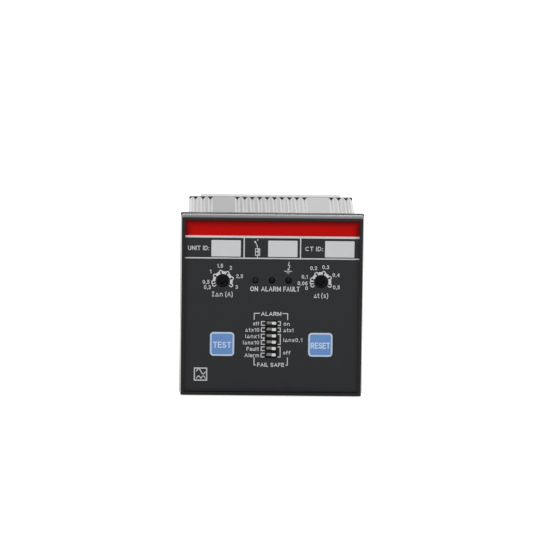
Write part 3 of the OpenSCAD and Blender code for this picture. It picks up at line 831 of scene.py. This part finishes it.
def stroke(path: np.ndarray, width: float, front: float, back: float) -> Surface:
    """Flat line of an even width along a path in X and Z.

    Args:
        path: Rows of x and z. The line is closed where the last is the first again.
        width: The line's width.
        front: Depth of its front face.
        back: Depth of its back face.

    Returns:
        A rectangle carried along the path: each of its four edges is the path moved sideways by half
        the width along the mitre, at the front or the back.
    """
    path = np.asarray(path, float)
    apart = np.linalg.norm(np.diff(path, axis=0), axis=1) > APART
    path = path[np.concatenate([[True], apart])]
    closed = np.allclose(path[0], path[-1], atol=MEETING)
    if closed:
        path = path[:-1]
        before = path - np.roll(path, 1, axis=0)
        after = np.roll(path, -1, axis=0) - path
    else:
        steps = np.diff(path, axis=0)
        before = np.concatenate([steps[:1], steps])
        after = np.concatenate([steps, steps[-1:]])
    runs = [run / np.linalg.norm(run, axis=1, keepdims=True) for run in (before, after)]
    sides = [np.stack([-run[:, 1], run[:, 0]], axis=1) for run in runs]
    mitre = sides[0] + sides[1]
    mitre = mitre / np.linalg.norm(mitre, axis=1, keepdims=True)
    reach = np.sum(mitre * sides[1], axis=1, keepdims=True).clip(MITRE)
    shift = mitre * (width / 2) / reach
    edges = [(shift, front), (-shift, front), (-shift, back), (shift, back)]
    rows = np.stack([np.insert(path + move, 1, depth, axis=1) for move, depth in edges])
    band = lattice(rows, closed_rows=True, closed_columns=closed)
    if closed:
        return band
    first = np.arange(4) * len(path)
    last = (first + len(path) - 1)[::-1]
    corners = np.concatenate([band.corners, first, last])
    return Surface(band.points, corners, np.concatenate([band.sizes, [4, 4]]))


# Lettering

# Strokes that cross lie in different layers, each this much nearer than the last.
LAYER = 0.004
LAYERS = 4

# An arc in a letter has a point about every so many degrees, and at least so many points.
ARC_STEP = 18
ARC_POINTS = 4

# Centre lines of the letters, in units of the capitals' height: the letter's width, then its strokes.
# A stroke lists points, and arcs as (centre x, centre z, radius x, radius z, first angle, last angle).
LETTERS: dict[str, tuple[float, list[list[tuple[float, ...]]]]] = {
    "A": (0.78, [[(0, 0), (0.39, 1), (0.78, 0)], [(0.2, 0.33), (0.58, 0.33)]]),
    "C": (0.72, [[(0.38, 0.5, 0.38, 0.5, 50, 310)]]),
    "D": (0.7, [[(0, 0), (0, 1), (0.28, 0.5, 0.42, 0.5, 90, -90), (0, 0)]]),
    "E": (0.58, [[(0.58, 1), (0, 1), (0, 0), (0.58, 0)], [(0.05, 0.52), (0.5, 0.52)]]),
    "F": (0.54, [[(0.54, 1), (0, 1), (0, 0)], [(0.05, 0.5), (0.46, 0.5)]]),
    "I": (0, [[(0, 0), (0, 1)]]),
    "|": (0.36, [[(0.18, 0), (0.18, 1)], [(0, 1), (0.36, 1)], [(0, 0), (0.36, 0)]]),
    "L": (0.5, [[(0, 1), (0, 0), (0.5, 0)]]),
    "M": (0.8, [[(0, 0), (0, 1)], [(0.04, 0.93), (0.4, 0.12), (0.76, 0.93)], [(0.8, 1), (0.8, 0)]]),
    "N": (0.68, [[(0, 0), (0, 1)], [(0.04, 0.93), (0.64, 0.07)], [(0.68, 0), (0.68, 1)]]),
    "O": (0.8, [[(0.4, 0.5, 0.4, 0.5, 0, 360)]]),
    "R": (0.66, [[(0, 0), (0, 1)], [(0.1, 1), (0.38, 0.74, 0.26, 0.26, 90, -90), (0.1, 0.48)],
                 [(0.4, 0.41), (0.64, 0.02)]]),
    "S": (0.64, [[(0.32, 0.75, 0.29, 0.25, 30, 270), (0.32, 0.25, 0.32, 0.25, 90, -150)]]),
    "T": (0.66, [[(0, 1), (0.66, 1)], [(0.33, 0.95), (0.33, 0)]]),
    "U": (0.66, [[(0, 1), (0.33, 0.33, 0.33, 0.33, 180, 360), (0.66, 1)]]),
    "a": (0.48, [[(0.24, 0.48, 0.24, 0.24, 155, 0), (0.48, 0)], [(0.24, 0.2, 0.24, 0.2, 0, 360)]]),
    "f": (0.42, [[(0.17, 0), (0.37, 0.8, 0.2, 0.2, 180, 80)], [(0, 0.66), (0.38, 0.66)]]),
    "l": (0, [[(0, 0), (0, 1)]]),
    "m": (0.8, [[(0, 0), (0, 0.72)], [(0.2, 0.5, 0.2, 0.22, 180, 0), (0.4, 0)],
                [(0.6, 0.5, 0.2, 0.22, 180, 0), (0.8, 0)]]),
    "n": (0.46, [[(0, 0), (0, 0.72)], [(0.23, 0.49, 0.23, 0.23, 180, 0), (0.46, 0)]]),
    "o": (0.52, [[(0.26, 0.36, 0.26, 0.36, 0, 360)]]),
    "r": (0.34, [[(0, 0), (0, 0.72)], [(0.26, 0.46, 0.26, 0.26, 180, 70)]]),
    "s": (0.42, [[(0.21, 0.54, 0.18, 0.18, 30, 270), (0.21, 0.18, 0.21, 0.18, 90, -150)]]),
    "t": (0.4, [[(0.15, 0.98), (0.33, 0.18, 0.18, 0.18, 180, 280)], [(0, 0.7), (0.36, 0.7)]]),
    "u": (0.46, [[(0, 0.72), (0.23, 0.23, 0.23, 0.23, 180, 360), (0.46, 0.72)], [(0.46, 0.3), (0.46, 0)]]),
    "x": (0.46, [[(0, 0), (0.46, 0.72)], [(0, 0.72), (0.46, 0)]]),
    "Δ": (0.6, [[(0, 0), (0.3, 0.8), (0.6, 0), (0, 0)]]),
    "(": (0.18, [[(0.5, 0.42, 0.5, 0.86, 130, 230)]]),
    ")": (0.18, [[(-0.32, 0.42, 0.5, 0.86, 50, -50)]]),
    ",": (0.06, [[(0.06, 0.03), (0, -0.12)]]),
    ":": (0, [[(0, 0), (0, 0.03)], [(0, 0.6), (0, 0.63)]]),
    "0": (0.54, [[(0.27, 0.5, 0.27, 0.5, 0, 360)]]),
    "1": (0.26, [[(0, 0.76), (0.26, 1), (0.26, 0)]]),
    "2": (0.54, [[(0.26, 0.72, 0.26, 0.28, 165, -40), (0, 0), (0.54, 0)]]),
    "3": (0.52, [[(0.25, 0.74, 0.23, 0.26, 150, -90)], [(0.25, 0.25, 0.27, 0.25, 90, -150)]]),
    "4": (0.56, [[(0.42, 0), (0.42, 1)], [(0.4, 0.95), (0, 0.3), (0.56, 0.3)]]),
    "5": (0.52, [[(0.48, 1), (0.08, 1), (0.03, 0.52), (0.25, 0.32, 0.27, 0.32, 125, -150)]]),
    "6": (0.54, [[(0.27, 0.3, 0.27, 0.3, 0, 360)], [(0.42, 0.42, 0.42, 0.58, 180, 75)]]),
    " ": (0.1, []),
}


def traced(steps: list[tuple[float, ...]]) -> np.ndarray:
    """Points of one stroke of a letter.

    Args:
        steps: Its points and arcs.

    Returns:
        Rows of x and z.
    """
    parts = []
    for step in steps:
        if len(step) == 2:
            parts.append(np.array([step], float))
        else:
            x, z, reach_x, reach_z, start, end = step
            turn = arc(start, end, max(ARC_POINTS, round(abs(end - start) / ARC_STEP)))
            parts.append(turn * [reach_x, reach_z] + [x, z])
    return np.concatenate(parts)


def lengthened(path: np.ndarray, reach: float) -> np.ndarray:
    """Path of a stroke with square ends.

    Args:
        path: Rows of x and z.
        reach: How far each end of an open path moves on.

    Returns:
        The longer path, or a closed path as it was.
    """
    if np.allclose(path[0], path[-1]):
        return path
    longer = path.copy()
    onward = path[[0, -1]] - path[[1, -2]]
    longer[[0, -1]] += onward / np.linalg.norm(onward, axis=1, keepdims=True) * reach
    return longer


@dataclass(frozen=True)
class Word:
    """One printed word: its place names the left end, the middle or the right end of its base line."""

    text: str
    x: float
    base: float
    height: float
    width: float
    align: Align = Align.CENTRE
    weight: float = 0.28
    gap: float = 0.36

    def surface(self, front: float, back: float) -> Surface:
        """Draws the word.

        Args:
            front: Depth of the letters' front.
            back: Depth of the letters' back.

        Returns:
            Each stroke of each letter, with the centre lines scaled so that the capitals have the
            height and the whole word the width over the strokes' edges.
        """
        lines = []
        reach = 0.0
        for letter in self.text:
            width, strokes = LETTERS[letter]
            lines += [traced(steps) + [reach, 0] for steps in strokes]
            reach += width + self.gap
        scale = np.array([(self.width - self.weight) / (reach - self.gap), self.height - self.weight])
        left = self.x - self.align.value * self.width
        corner = np.array([left, self.base]) + self.weight / 2
        parts = []
        for index, line in enumerate(lines):
            path = lengthened(line * scale + corner, self.weight / 2)
            parts.append(stroke(path, self.weight, front - LAYER * (index % LAYERS), back))
        return together(parts)


# Sub-assemblies


@dataclass
class LabelLettering:
    """Words, dial numbers and symbols printed on the label, in the layout of the front.

    dial_numbers gives each number's text and the x and z of its middle. left_rows and right_rows give
    each word's text, its row, counted from the first slide, and its width.
    """

    front: float = 0.76
    back: float = 0.86
    digit: float = 1.5
    digit_line: float = 0.25
    digit_gap: float = 0.34
    digit_room: float = 0.06
    first_row: float = -7.5
    row_pitch: float = 2.54
    row_height: float = 1.5
    row_line: float = 0.23
    row_left: float = -4.78
    row_right: float = 4.75
    wave_left: float = -29.3
    wave_width: float = 3.6
    wave_line: float = 0.34
    sine_middle: float = -26.1
    sine_height: float = 1.05
    halves_base: float = -28.95
    words: tuple[Word, ...] = (
        Word("ON", -6.95, 6.15, 1.95, 3.05, weight=0.32),
        Word("ALARM", -0.35, 6.15, 1.95, 7.75, weight=0.31),
        Word("FAULT", 7.7, 6.15, 1.95, 6.4, weight=0.31),
        Word("|Δn", -21.4, 3.95, 1.9, 4.2, weight=0.26),
        Word("(A)", -16.8, 3.95, 1.9, 2.9, weight=0.26),
        Word("Δt", 17.6, 3.7, 1.9, 2.2, weight=0.25),
        Word("(s)", 20.75, 3.7, 1.9, 2.7, weight=0.25),
        Word("ALARM", -0.15, -3.62, 1.58, 7.95, weight=0.29),
        Word("FAIL SAFE", -0.15, -24.0, 1.6, 10.6, weight=0.28),
        Word("UNIT ID:", -33.0, 22.35, 1.75, 8.3, Align.LEFT),
        Word("CT ID:", 12.9, 22.35, 1.75, 6.9, Align.LEFT),
    )
    dial_numbers: tuple[tuple[str, float, float], ...] = (
        ("0,3", -25.3, 7.6),
        ("0,5", -25.8, 9.7),
        ("1", -24.1, 13.9),
        ("1,5", -20.4, 16.2),
        ("2", -16.2, 15.4),
        ("2,5", -12.7, 12.1),
        ("3", -13.8, 7.8),
        ("0", 13.6, 7.6),
        ("0,06", 12.0, 9.5),
        ("0,1", 12.8, 12.1),
        ("0,2", 16.3, 15.6),
        ("0,3", 21.0, 16.0),
        ("0,4", 25.1, 12.9),
        ("0,5", 25.3, 8.0),
    )
    left_rows: tuple[tuple[str, float, float], ...] = (
        ("off", 0, 2.4),
        ("Δtx10", 1, 5.5),
        ("IΔnx1", 2, 5.4),
        ("IΔnx10", 3, 6.3),
        ("Fault", 4, 4.9),
        ("Alarm", 5, 5.7),
    )
    right_rows: tuple[tuple[str, float, float], ...] = (
        ("on", 0, 2.4),
        ("Δtx1", 1, 3.9),
        ("IΔnx0,1", 2.55, 7.4),
        ("off", 4.55, 2.8),
    )

    def numbers(self) -> list[Word]:
        """Numbers round both dials.

        Returns:
            The words, as wide as their digits need, with their middles at the places.
        """
        words = []
        for text, x, z in self.dial_numbers:
            advance = sum(LETTERS[letter][0] for letter in text) + self.digit_gap * (len(text) - 1)
            width = advance * (self.digit - self.digit_line) + self.digit_line
            width += self.digit_room * len(text)
            words.append(Word(text, x, z - self.digit / 2, self.digit, width, weight=self.digit_line))
        return words

    def rows(self) -> list[Word]:
        """Words beside the slides.

        Returns:
            The words, which end at row_left or start at row_right.
        """
        left = [(entry, self.row_left, Align.RIGHT) for entry in self.left_rows]
        right = [(entry, self.row_right, Align.LEFT) for entry in self.right_rows]
        words = []
        for (text, row, width), x, align in left + right:
            base = self.first_row - self.row_pitch * row
            words.append(Word(text, x, base, self.row_height, width, align, self.row_line))
        return words

    def sign(self, lines: list[tuple[float, list[Pair]]]) -> list[Surface]:
        """Lines of a sign, from their widths and paths, each a layer nearer than the last."""
        return [
            stroke(np.array(path), width, self.front - LAYER * index, self.back)
            for index, (width, path) in enumerate(lines)
        ]

    def breaker_sign(self) -> list[Surface]:
        """Circuit breaker.

        Returns:
            The lines of a crossed contact over a divided box with a step and an arc.
        """
        release_arc = (arc(90, -90, 9) * 0.4 + [-5.72, 21.18]).tolist()
        paths = [
            [(-7.05, 26.15), (-6.4, 25.5)],
            [(-7.05, 25.5), (-6.4, 26.15)],
            [(-5.73, 26.9), (-5.73, 26.3)],
            [(-6.6, 25.7), (-5.85, 24.1), (-5.85, 23.1)],
            [(-6.6, 23.1), (-4.92, 23.1), (-4.92, 20.46), (-6.6, 20.46), (-6.6, 23.1)],
            [(-6.6, 21.9), (-4.92, 21.9)],
            [(-5.72, 23.1), (-5.72, 22.72), (-5.33, 22.72), (-5.33, 22.26), (-5.72, 22.26), (-5.72, 21.9)],
            [(-5.72, 21.9), *release_arc, (-5.72, 20.46)],
            [(-5.85, 20.46), (-5.85, 19.5)],
        ]
        return self.sign([(0.28, path) for path in paths])

    def earth_sign(self) -> list[Surface]:
        """Earth fault: a flash over the earth sign."""
        return self.sign(
            [
                (0.28, [(6.72, 17.95), (6.36, 16.6), (6.92, 16.5), (6.4, 14.7)]),
                (0.17, [(6.08, 15.3), (6.34, 14.62), (6.84, 15.1)]),
                (0.25, [(4.75, 14.25), (7.85, 14.25)]),
                (0.13, [(5.6, 13.7), (7.0, 13.7)]),
                (0.11, [(5.95, 13.2), (6.65, 13.2)]),
            ]
        )

    def wave_sign(self) -> list[Surface]:
        """Waveforms in the badge.

        Returns:
            One period of a sine, z = sin(turn), over its half waves, z = |sin(turn)|.
        """
        share = np.linspace(0, 1, 33)
        x = self.wave_left + self.wave_width * share
        wave = np.sin(2 * math.pi * share)
        lines = (self.sine_middle + self.sine_height * wave, self.halves_base + np.abs(wave))
        return [stroke(np.stack([x, z], axis=1), self.wave_line, self.front, self.back) for z in lines]

    def build(self, ink: Material) -> None:
        """Makes the words and the symbols.

        Args:
            ink: The white print.
        """
        words = [*self.words, *self.numbers(), *self.rows()]
        together([word.surface(self.front, self.back) for word in words]).piece(
            "label_words", ink, Body.CASE.value, "white_ink", smooth=20
        )
        signs = self.breaker_sign() + self.earth_sign() + self.wave_sign()
        together(signs).piece("label_signs", ink, Body.CASE.value, "white_ink", smooth=20)


@dataclass
class Key:
    """Square key: a cap with a raised round border, a pillow-shaped pad in it and its word.

    The border's crest has the radii crest outside and fall inside. The pad's edge lies sink deeper
    than the crest and reaches lap under the border, with corners that are rounder by slack. skirt and
    seat are how much deeper the pad's underside and the cap under it lie. The word stands proud of
    the pad and is rooted in it.
    """

    name: str
    word: str
    word_width: float
    centre: Pair
    width: float = 9.65
    corner: float = 1.5
    front: float = 0.75
    back: float = 3.6
    border: float = 0.75
    crest: float = 0.3
    fall: float = 0.16
    sink: float = 0.16
    seat: float = 0.1
    skirt: float = 0.09
    lap: float = 0.02
    crown: float = 0.1
    slack: float = 0.1
    rings: int = 14
    word_height: float = 2.45
    word_base: float = -1.5
    word_line: float = 0.42
    proud: float = 0.035
    rooted: float = 0.04

    def cap(self) -> Surface:
        """Cap.

        Returns:
            The border's profile, up the side, over a round crest and down to the pad's seat, carried
            round the key's outline.
        """
        outer = bend(self.crest, 180, 90, 6, self.crest, self.front)
        inner = bend(self.fall, 90, 0, 5, self.border - self.fall, self.front)
        ends = np.array([[0, self.back], [self.border, self.front + self.sink + self.seat]])
        profile = np.concatenate([ends[:1], outer, inner, ends[1:]])
        return carried(self.width, self.width, self.corner, profile)

    def pad_depth(self, points: np.ndarray) -> np.ndarray:
        """Depth of the pad's front.

        Args:
            points: x and z from the key's middle, along the last axis.

        Returns:
            The edge's depth less a crown of 1 - r^4, where r is the share of the way to the edge.
        """
        half = self.width / 2 - self.border
        share = np.abs(points).max(axis=-1) / half
        return self.front + self.sink - self.crown * (1 - np.clip(share, 0, 1) ** 4)

    def pad(self) -> Surface:
        """Pad.

        Returns:
            Outlines that shrink to the middle, at the pad's depth, with a skirt down to the seat.
        """
        inset = self.border - self.lap
        side = self.width - 2 * inset
        edge = round_outline(side, side, self.corner - inset + self.slack)
        rings = edge * np.linspace(0, 1, self.rings)[:, None, None]
        front = np.insert(rings, 1, self.pad_depth(rings), axis=2)
        skirt = np.insert(edge, 1, self.front + self.sink + self.skirt, axis=1)
        return lattice(np.stack([*front, skirt, skirt * [0, 1, 0]]), closed_columns=True)

    def lettering(self) -> Surface:
        """Word on the pad.

        Returns:
            The word with its front proud of the pad's depth at each point, and its back under it.
        """
        word = Word(self.word, 0, self.word_base, self.word_height, self.word_width, weight=self.word_line)
        flat = word.surface(0, 1)
        depth = self.pad_depth(flat.points[:, [0, 2]])
        layer = flat.points[:, 1]
        flat.points[:, 1] = depth + np.where(layer > 0.5, self.rooted, layer - self.proud)
        return flat

    def build(self, border: Material, blue: Material, ink: Material) -> None:
        """Makes the key.

        Args:
            border: Finish of the cap.
            blue: Finish of the pad.
            ink: The pale print.
        """
        x, z = self.centre
        name = self.name
        self.cap().moved(x, 0, z).piece(f"{name}_cap", border, name, "key_border", (name,))
        self.pad().moved(x, 0, z).piece(f"{name}_face", blue, name, "key_blue", (f"{name}_pad",))
        self.lettering().moved(x, 0, z).piece(f"{name}_word", ink, name, "white_ink", smooth=20)


@dataclass
class SlideButton:
    """Slide of the slide switch: a button on a long thin foot.

    left and right are the ends of the button along X at rest, and rooted is its depth in the foot. The
    corners seen from the front have the radius of the front edges times roundness.
    """

    index: int
    centre_z: float = -13
    pitch: float = 2.54
    count: int = 6
    left: float = 0.195
    right: float = 1.845
    width: float = 1.1
    front: float = 1.0
    foot_from: float = 2.48
    foot_left: float = -1.845
    foot_right: float = 3.845
    foot_thick: float = 0.6
    foot_width: float = 1.26
    rooted: float = 0.3
    button_edge: float = 0.16
    foot_edge: float = 0.06
    roundness: float = 1.05

    def block(self, width: float, height: float, front: float, back: float, edge: float) -> Surface:
        """Block with round front edges, about the middle of X and Z.

        Args:
            width: Size along X.
            height: Size along Z.
            front: Depth of its front.
            back: Depth of its back.
            edge: Radius of the front edges.

        Returns:
            A straight side and a quarter round, carried round the block's outline and closed.
        """
        profile = np.concatenate([[[0, back]], bend(edge, 180, 90, 5, edge, front)])
        return carried(width, height, edge * self.roundness, profile)

    def build(self, white: Material) -> None:
        """Makes the slide.

        Args:
            white: Its finish.
        """
        z = self.centre_z + self.pitch * ((self.count - 1) / 2 - self.index)
        name = f"dip_slide_{self.index + 1}"
        back = self.foot_from + self.rooted
        button = self.block(self.right - self.left, self.width, self.front, back, self.button_edge)
        length = self.foot_right - self.foot_left
        back = self.foot_from + self.foot_thick
        foot = self.block(length, self.foot_width, self.foot_from, back, self.foot_edge)
        whole = button.moved((self.left + self.right) / 2, 0, z)
        whole = whole + foot.moved((self.foot_left + self.foot_right) / 2, 0, z)
        whole.piece(f"{name}_moulding", white, name, "slide_white", (name,))


@dataclass
class ShownNodes:
    """Finishes of the CAD nodes that stay, each with its nodes."""

    finishes: tuple[tuple[Finish, tuple[str, ...]], ...] = (
        (
            Moulding("frame_black", (5, 5, 6), 0.12, 0.22, 0.3, 0.001, edge=0.06, edge_light=0.03),
            ("front_frame",),
        ),
        (Moulding("cover_black", (24, 24, 25), 0.42, 0.35), ("rear_cover",)),
        # housing_grey paints light into its grooves and shade onto its ridges and flats.
        (
            RibbedMoulding("housing_grey", (195, 195, 195), 0.62, 0.12, 0.35, 0.006, 0.03, 0.12, 0.1),
            ("housing",),
        ),
        (
            Moulding("plug_grey", (205, 205, 203), 0.5, 0.15, 0.3, 0.004, 0.03, 0.15, 0.3),
            ("upper_plug", "lower_plug"),
        ),
        (Moulding("switch_black", (7, 7, 7), 0.5, 0.1, edge=0.1), ("dip_body",)),
        (
            Moulding("dial_black", (3, 3, 3), 0.42, 0.08, 0.2, 0.004, 0.1, 0.12, 0.06),
            ("current_dial", "time_dial"),
        ),
        (Moulding("trimmer_blue", (28, 54, 120), 0.35, coat=0.2), ("current_trimmer", "time_trimmer")),
        (Moulding("plunger_red", (176, 42, 30), 0.4), ("test_plunger", "reset_plunger")),
        (
            Moulding("part_black", (22, 22, 23), 0.45),
            (
                "test_switch", "reset_switch", "lamp_spacers", "board_links", "processor", "amplifiers",
                "transformer_bobbin", "trip_relay", "alarm_relay", "rectifier",
            ),
        ),
        (Moulding("header_green", (50, 84, 58), 0.45), ("upper_header", "lower_header")),
        (Moulding("sleeve_blue", (34, 40, 78), 0.3, coat=0.4), ("main_capacitor",)),
        (Moulding("dipped_blue", (22, 74, 140), 0.3, coat=0.5, grain=0.8, depth=0.03), ("varistor",)),
        # shade on the label film, the red field and the white print is painted shade from the frame's rim.
        (PrintedFilm("label_black", (41, 42, 44), shade=0.35), ("label_film",)),
        (PrintedFilm("label_red", (180, 9, 7), gloss=0.05, shade=0.85, border=3.7), ("header_field",)),
        (PrintedFilm("ink_white", (198, 198, 200), depth=0.002, shade=0.5, border=2.4), ("label_print",)),
        (PrintedFilm("tag_white", (198, 199, 201), 0.6, emboss=0.2, uneven=0.015), ("write_on_tags",)),
        (Rubber("seal_rubber", (14, 14, 14)), ("panel_seal",)),
        (Lens("lens_green", (23, 26, 26), (-6.45, 46.5)), ("lamp_on",)),
        (Lens("lens_red", (10, 8, 9), (0, 46.5)), ("lamp_alarm",)),
        (Lens("lens_fault", (13, 11, 12), (6.45, 46.5)), ("lamp_fault",)),
        (
            Metal("tinned", (190, 190, 188), 0.35),
            ("lamp_leads", "dip_pins", "link_pins", "header_pins", "upper_clamps", "lower_clamps"),
        ),
        (Metal("nickel", (186, 184, 178), 0.25), ("board_screws", "upper_screws", "lower_screws")),
        (Metal("core_steel", (112, 112, 116), 0.45, (1, 4, 1), 0.5), ("transformer_core",)),
        (CircuitBoard("board"), ("front_board", "signal_board", "power_board")),
        (Winding("winding", (214, 170, 60)), ("transformer_winding",)),
    )

    def dress(self, nodes: dict[str, bpy.types.Object]) -> None:
        """Gives each shown CAD node its finish.

        Args:
            nodes: The CAD nodes by name.
        """
        for finish, names in self.finishes:
            material = finish.material()
            for name in names:
                mesh = nodes[name].data
                mesh.materials.clear()
                mesh.materials.append(material)
                log.info("%s: %s", name, finish.name)


# Studio


@dataclass
class Studio:
    """Pale floor, soft lamps and the camera of the photograph.

    Angles are in degrees and lengths in metres, but sensor and floor_cloud, the width of the floor's
    mottle, in millimetres. The camera looks at the middle of the front from elevation and turn, rolled
    by roll, and the middle of the front falls on pixel. focal, picture and pixel are in pixels. The
    lamps look at the height aim, and mirror-like rays don't see those named in unseen.
    """

    elevation: float = 10.94
    turn: float = 0.794
    roll: float = 0.686
    distance: float = 2.0
    focal: float = 5101
    picture: float = 540
    pixel: Pair = (271.68, 307.20)
    sensor: float = 36
    clip: Pair = (0.05, 50)
    floor_size: float = 6.0
    world_light: float = 0.5
    floor_tone: float = 0.68
    floor_uneven: float = 0.01
    floor_cloud: float = 60
    floor_glow: float = 0.75
    aim: float = 0.036
    unseen: tuple[str, ...] = ("left", "right")
    lamps: tuple[tuple[str, Triple, float, float], ...] = (
        ("front", (0.1, -1.5, 0.9), 1.0, 13.5),
        ("left", (-1.2, 0.35, 0.42), 1.4, 9.0),
        ("right", (1.2, 0.35, 0.42), 1.4, 10.5),
        ("rear", (0.0, 2.0, 0.32), 0.4, 1.3),
    )

    def camera(self) -> None:
        """Sets the camera."""
        target = Vector(front_middle())
        lift, turn = math.radians(self.elevation), math.radians(self.turn)
        flat = math.cos(lift)
        back = Vector((-math.sin(turn) * flat, -math.cos(turn) * flat, math.sin(lift)))
        look = back.to_track_quat("Z", "Y").to_matrix()
        rolled = look @ Matrix.Rotation(math.radians(self.roll), 3, "Z")
        across, down = [math.atan((place - self.picture / 2) / self.focal) for place in self.pixel]
        aimed = rolled @ Matrix.Rotation(across, 3, "Y") @ Matrix.Rotation(down, 3, "X")
        data = bpy.data.cameras.new("camera")
        data.sensor_width = self.sensor
        data.lens = self.focal / self.picture * self.sensor
        data.clip_start, data.clip_end = self.clip
        made = linked("camera", data)
        made.matrix_world = Matrix.Translation(target + back * self.distance) @ aimed.to_4x4()
        bpy.context.scene.camera = made

    def lamp(self, name: str, place: Triple, size: float, power: float) -> None:
        """Adds a square soft lamp that looks at the object.

        Args:
            name: Its name.
            place: Where it stands.
            size: Its width.
            power: Its power in watts.
        """
        data = bpy.data.lights.new(name, "AREA")
        data.size = size
        data.energy = power
        made = linked(name, data)
        made.location = place
        made.rotation_euler = (Vector(place) - Vector((0, 0, self.aim))).to_track_quat("Z", "Y").to_euler()
        made.visible_glossy = name not in self.unseen

    def white_share(self, recipe: Recipe) -> Value:
        """Mask for what should look white.

        Args:
            recipe: The recipe that it is for.

        Returns:
            One where the camera or a mirror-like ray looks, and zero for the light on the object.
        """
        path = recipe.node("ShaderNodeLightPath")
        kinds = ("Camera", "Glossy", "Transmission")
        seen, glossy, through = [Value(recipe, path.outputs[f"Is {kind} Ray"]) for kind in kinds]
        return seen.larger(glossy).larger(through)

    def floor(self) -> None:
        """Lays the floor: pale, with just enough of its own light to be white to the camera."""
        half = self.floor_size / 2
        corners = [(-half, -half, 0), (half, -half, 0), (half, half, 0), (-half, half, 0)]
        mesh = bpy.data.meshes.new("floor")
        mesh.from_pydata(corners, [], [(0, 1, 2, 3)])
        recipe = Recipe.material("floor_pale")
        tones = (self.floor_tone - self.floor_uneven, self.floor_tone + self.floor_uneven)
        darker, lighter = [(tone,) * 3 + (1.0,) for tone in tones]
        tone = recipe.blend(recipe.noise(self.floor_cloud, 2), darker, lighter)
        diffuse = recipe.node("ShaderNodeBsdfDiffuse", None, {"Color": tone})
        seen = self.white_share(recipe) * self.floor_glow
        glow = recipe.node("ShaderNodeEmission", None, {"Color": (1, 1, 1, 1), "Strength": seen})
        both = recipe.node("ShaderNodeAddShader", None, {0: diffuse.outputs[0], 1: glow.outputs[0]})
        recipe.node("ShaderNodeOutputMaterial", None, {"Surface": both.outputs[0]})
        mesh.materials.append(recipe.owner)
        linked("floor", mesh)

    def world(self) -> None:
        """Sets the surroundings: white to the camera, softer as light on the object."""
        world = bpy.data.worlds.new("surroundings")
        bpy.context.scene.world = world
        recipe = Recipe(world)
        strength = self.white_share(recipe) * (1 - self.world_light) + self.world_light
        sky = recipe.node("ShaderNodeBackground", None, {"Color": (1, 1, 1, 1), "Strength": strength})
        recipe.node("ShaderNodeOutputWorld", None, {"Surface": sky.outputs[0]})

    def build(self) -> None:
        """Sets the camera, the surroundings, the floor, the lamps and the view transform."""
        self.camera()
        self.world()
        self.floor()
        for name, place, size, power in self.lamps:
            self.lamp(name, place, size, power)
        bpy.context.scene.view_settings.view_transform = "Standard"
        log.info("studio set")


def main() -> None:
    """Builds every piece in order, then the studio."""
    logging.basicConfig(level=logging.INFO, format="%(name)s %(message)s")
    ShownNodes().dress(frame["nodes"])
    LabelLettering().build(bpy.data.materials["ink_white"])
    border = Moulding("key_border", (180, 194, 214), 0.45, 0.35, 0.3, 0.003, 0.02, 0.1, 0.1).material()
    blue = Moulding("key_blue", (94, 134, 188), 0.5, 0.3, 0.25, 0.004, 0.03, 0.1, 0.1).material()
    pale = PrintedFilm("ink_pale", (192, 207, 229)).material()
    Key(Body.TEST_KEY.value, "TEST", 7.1, (-19.3, -15.1)).build(border, blue, pale)
    Key(Body.RESET_KEY.value, "RESET", 7.6, (19.3, -15.1)).build(border, blue, pale)
    white = SlidePlastic("slide_white", (212, 212, 209)).material()
    for index in range(SlideButton.count):
        SlideButton(index).build(white)
    Studio().build()


if __name__ == "__main__":
    main()
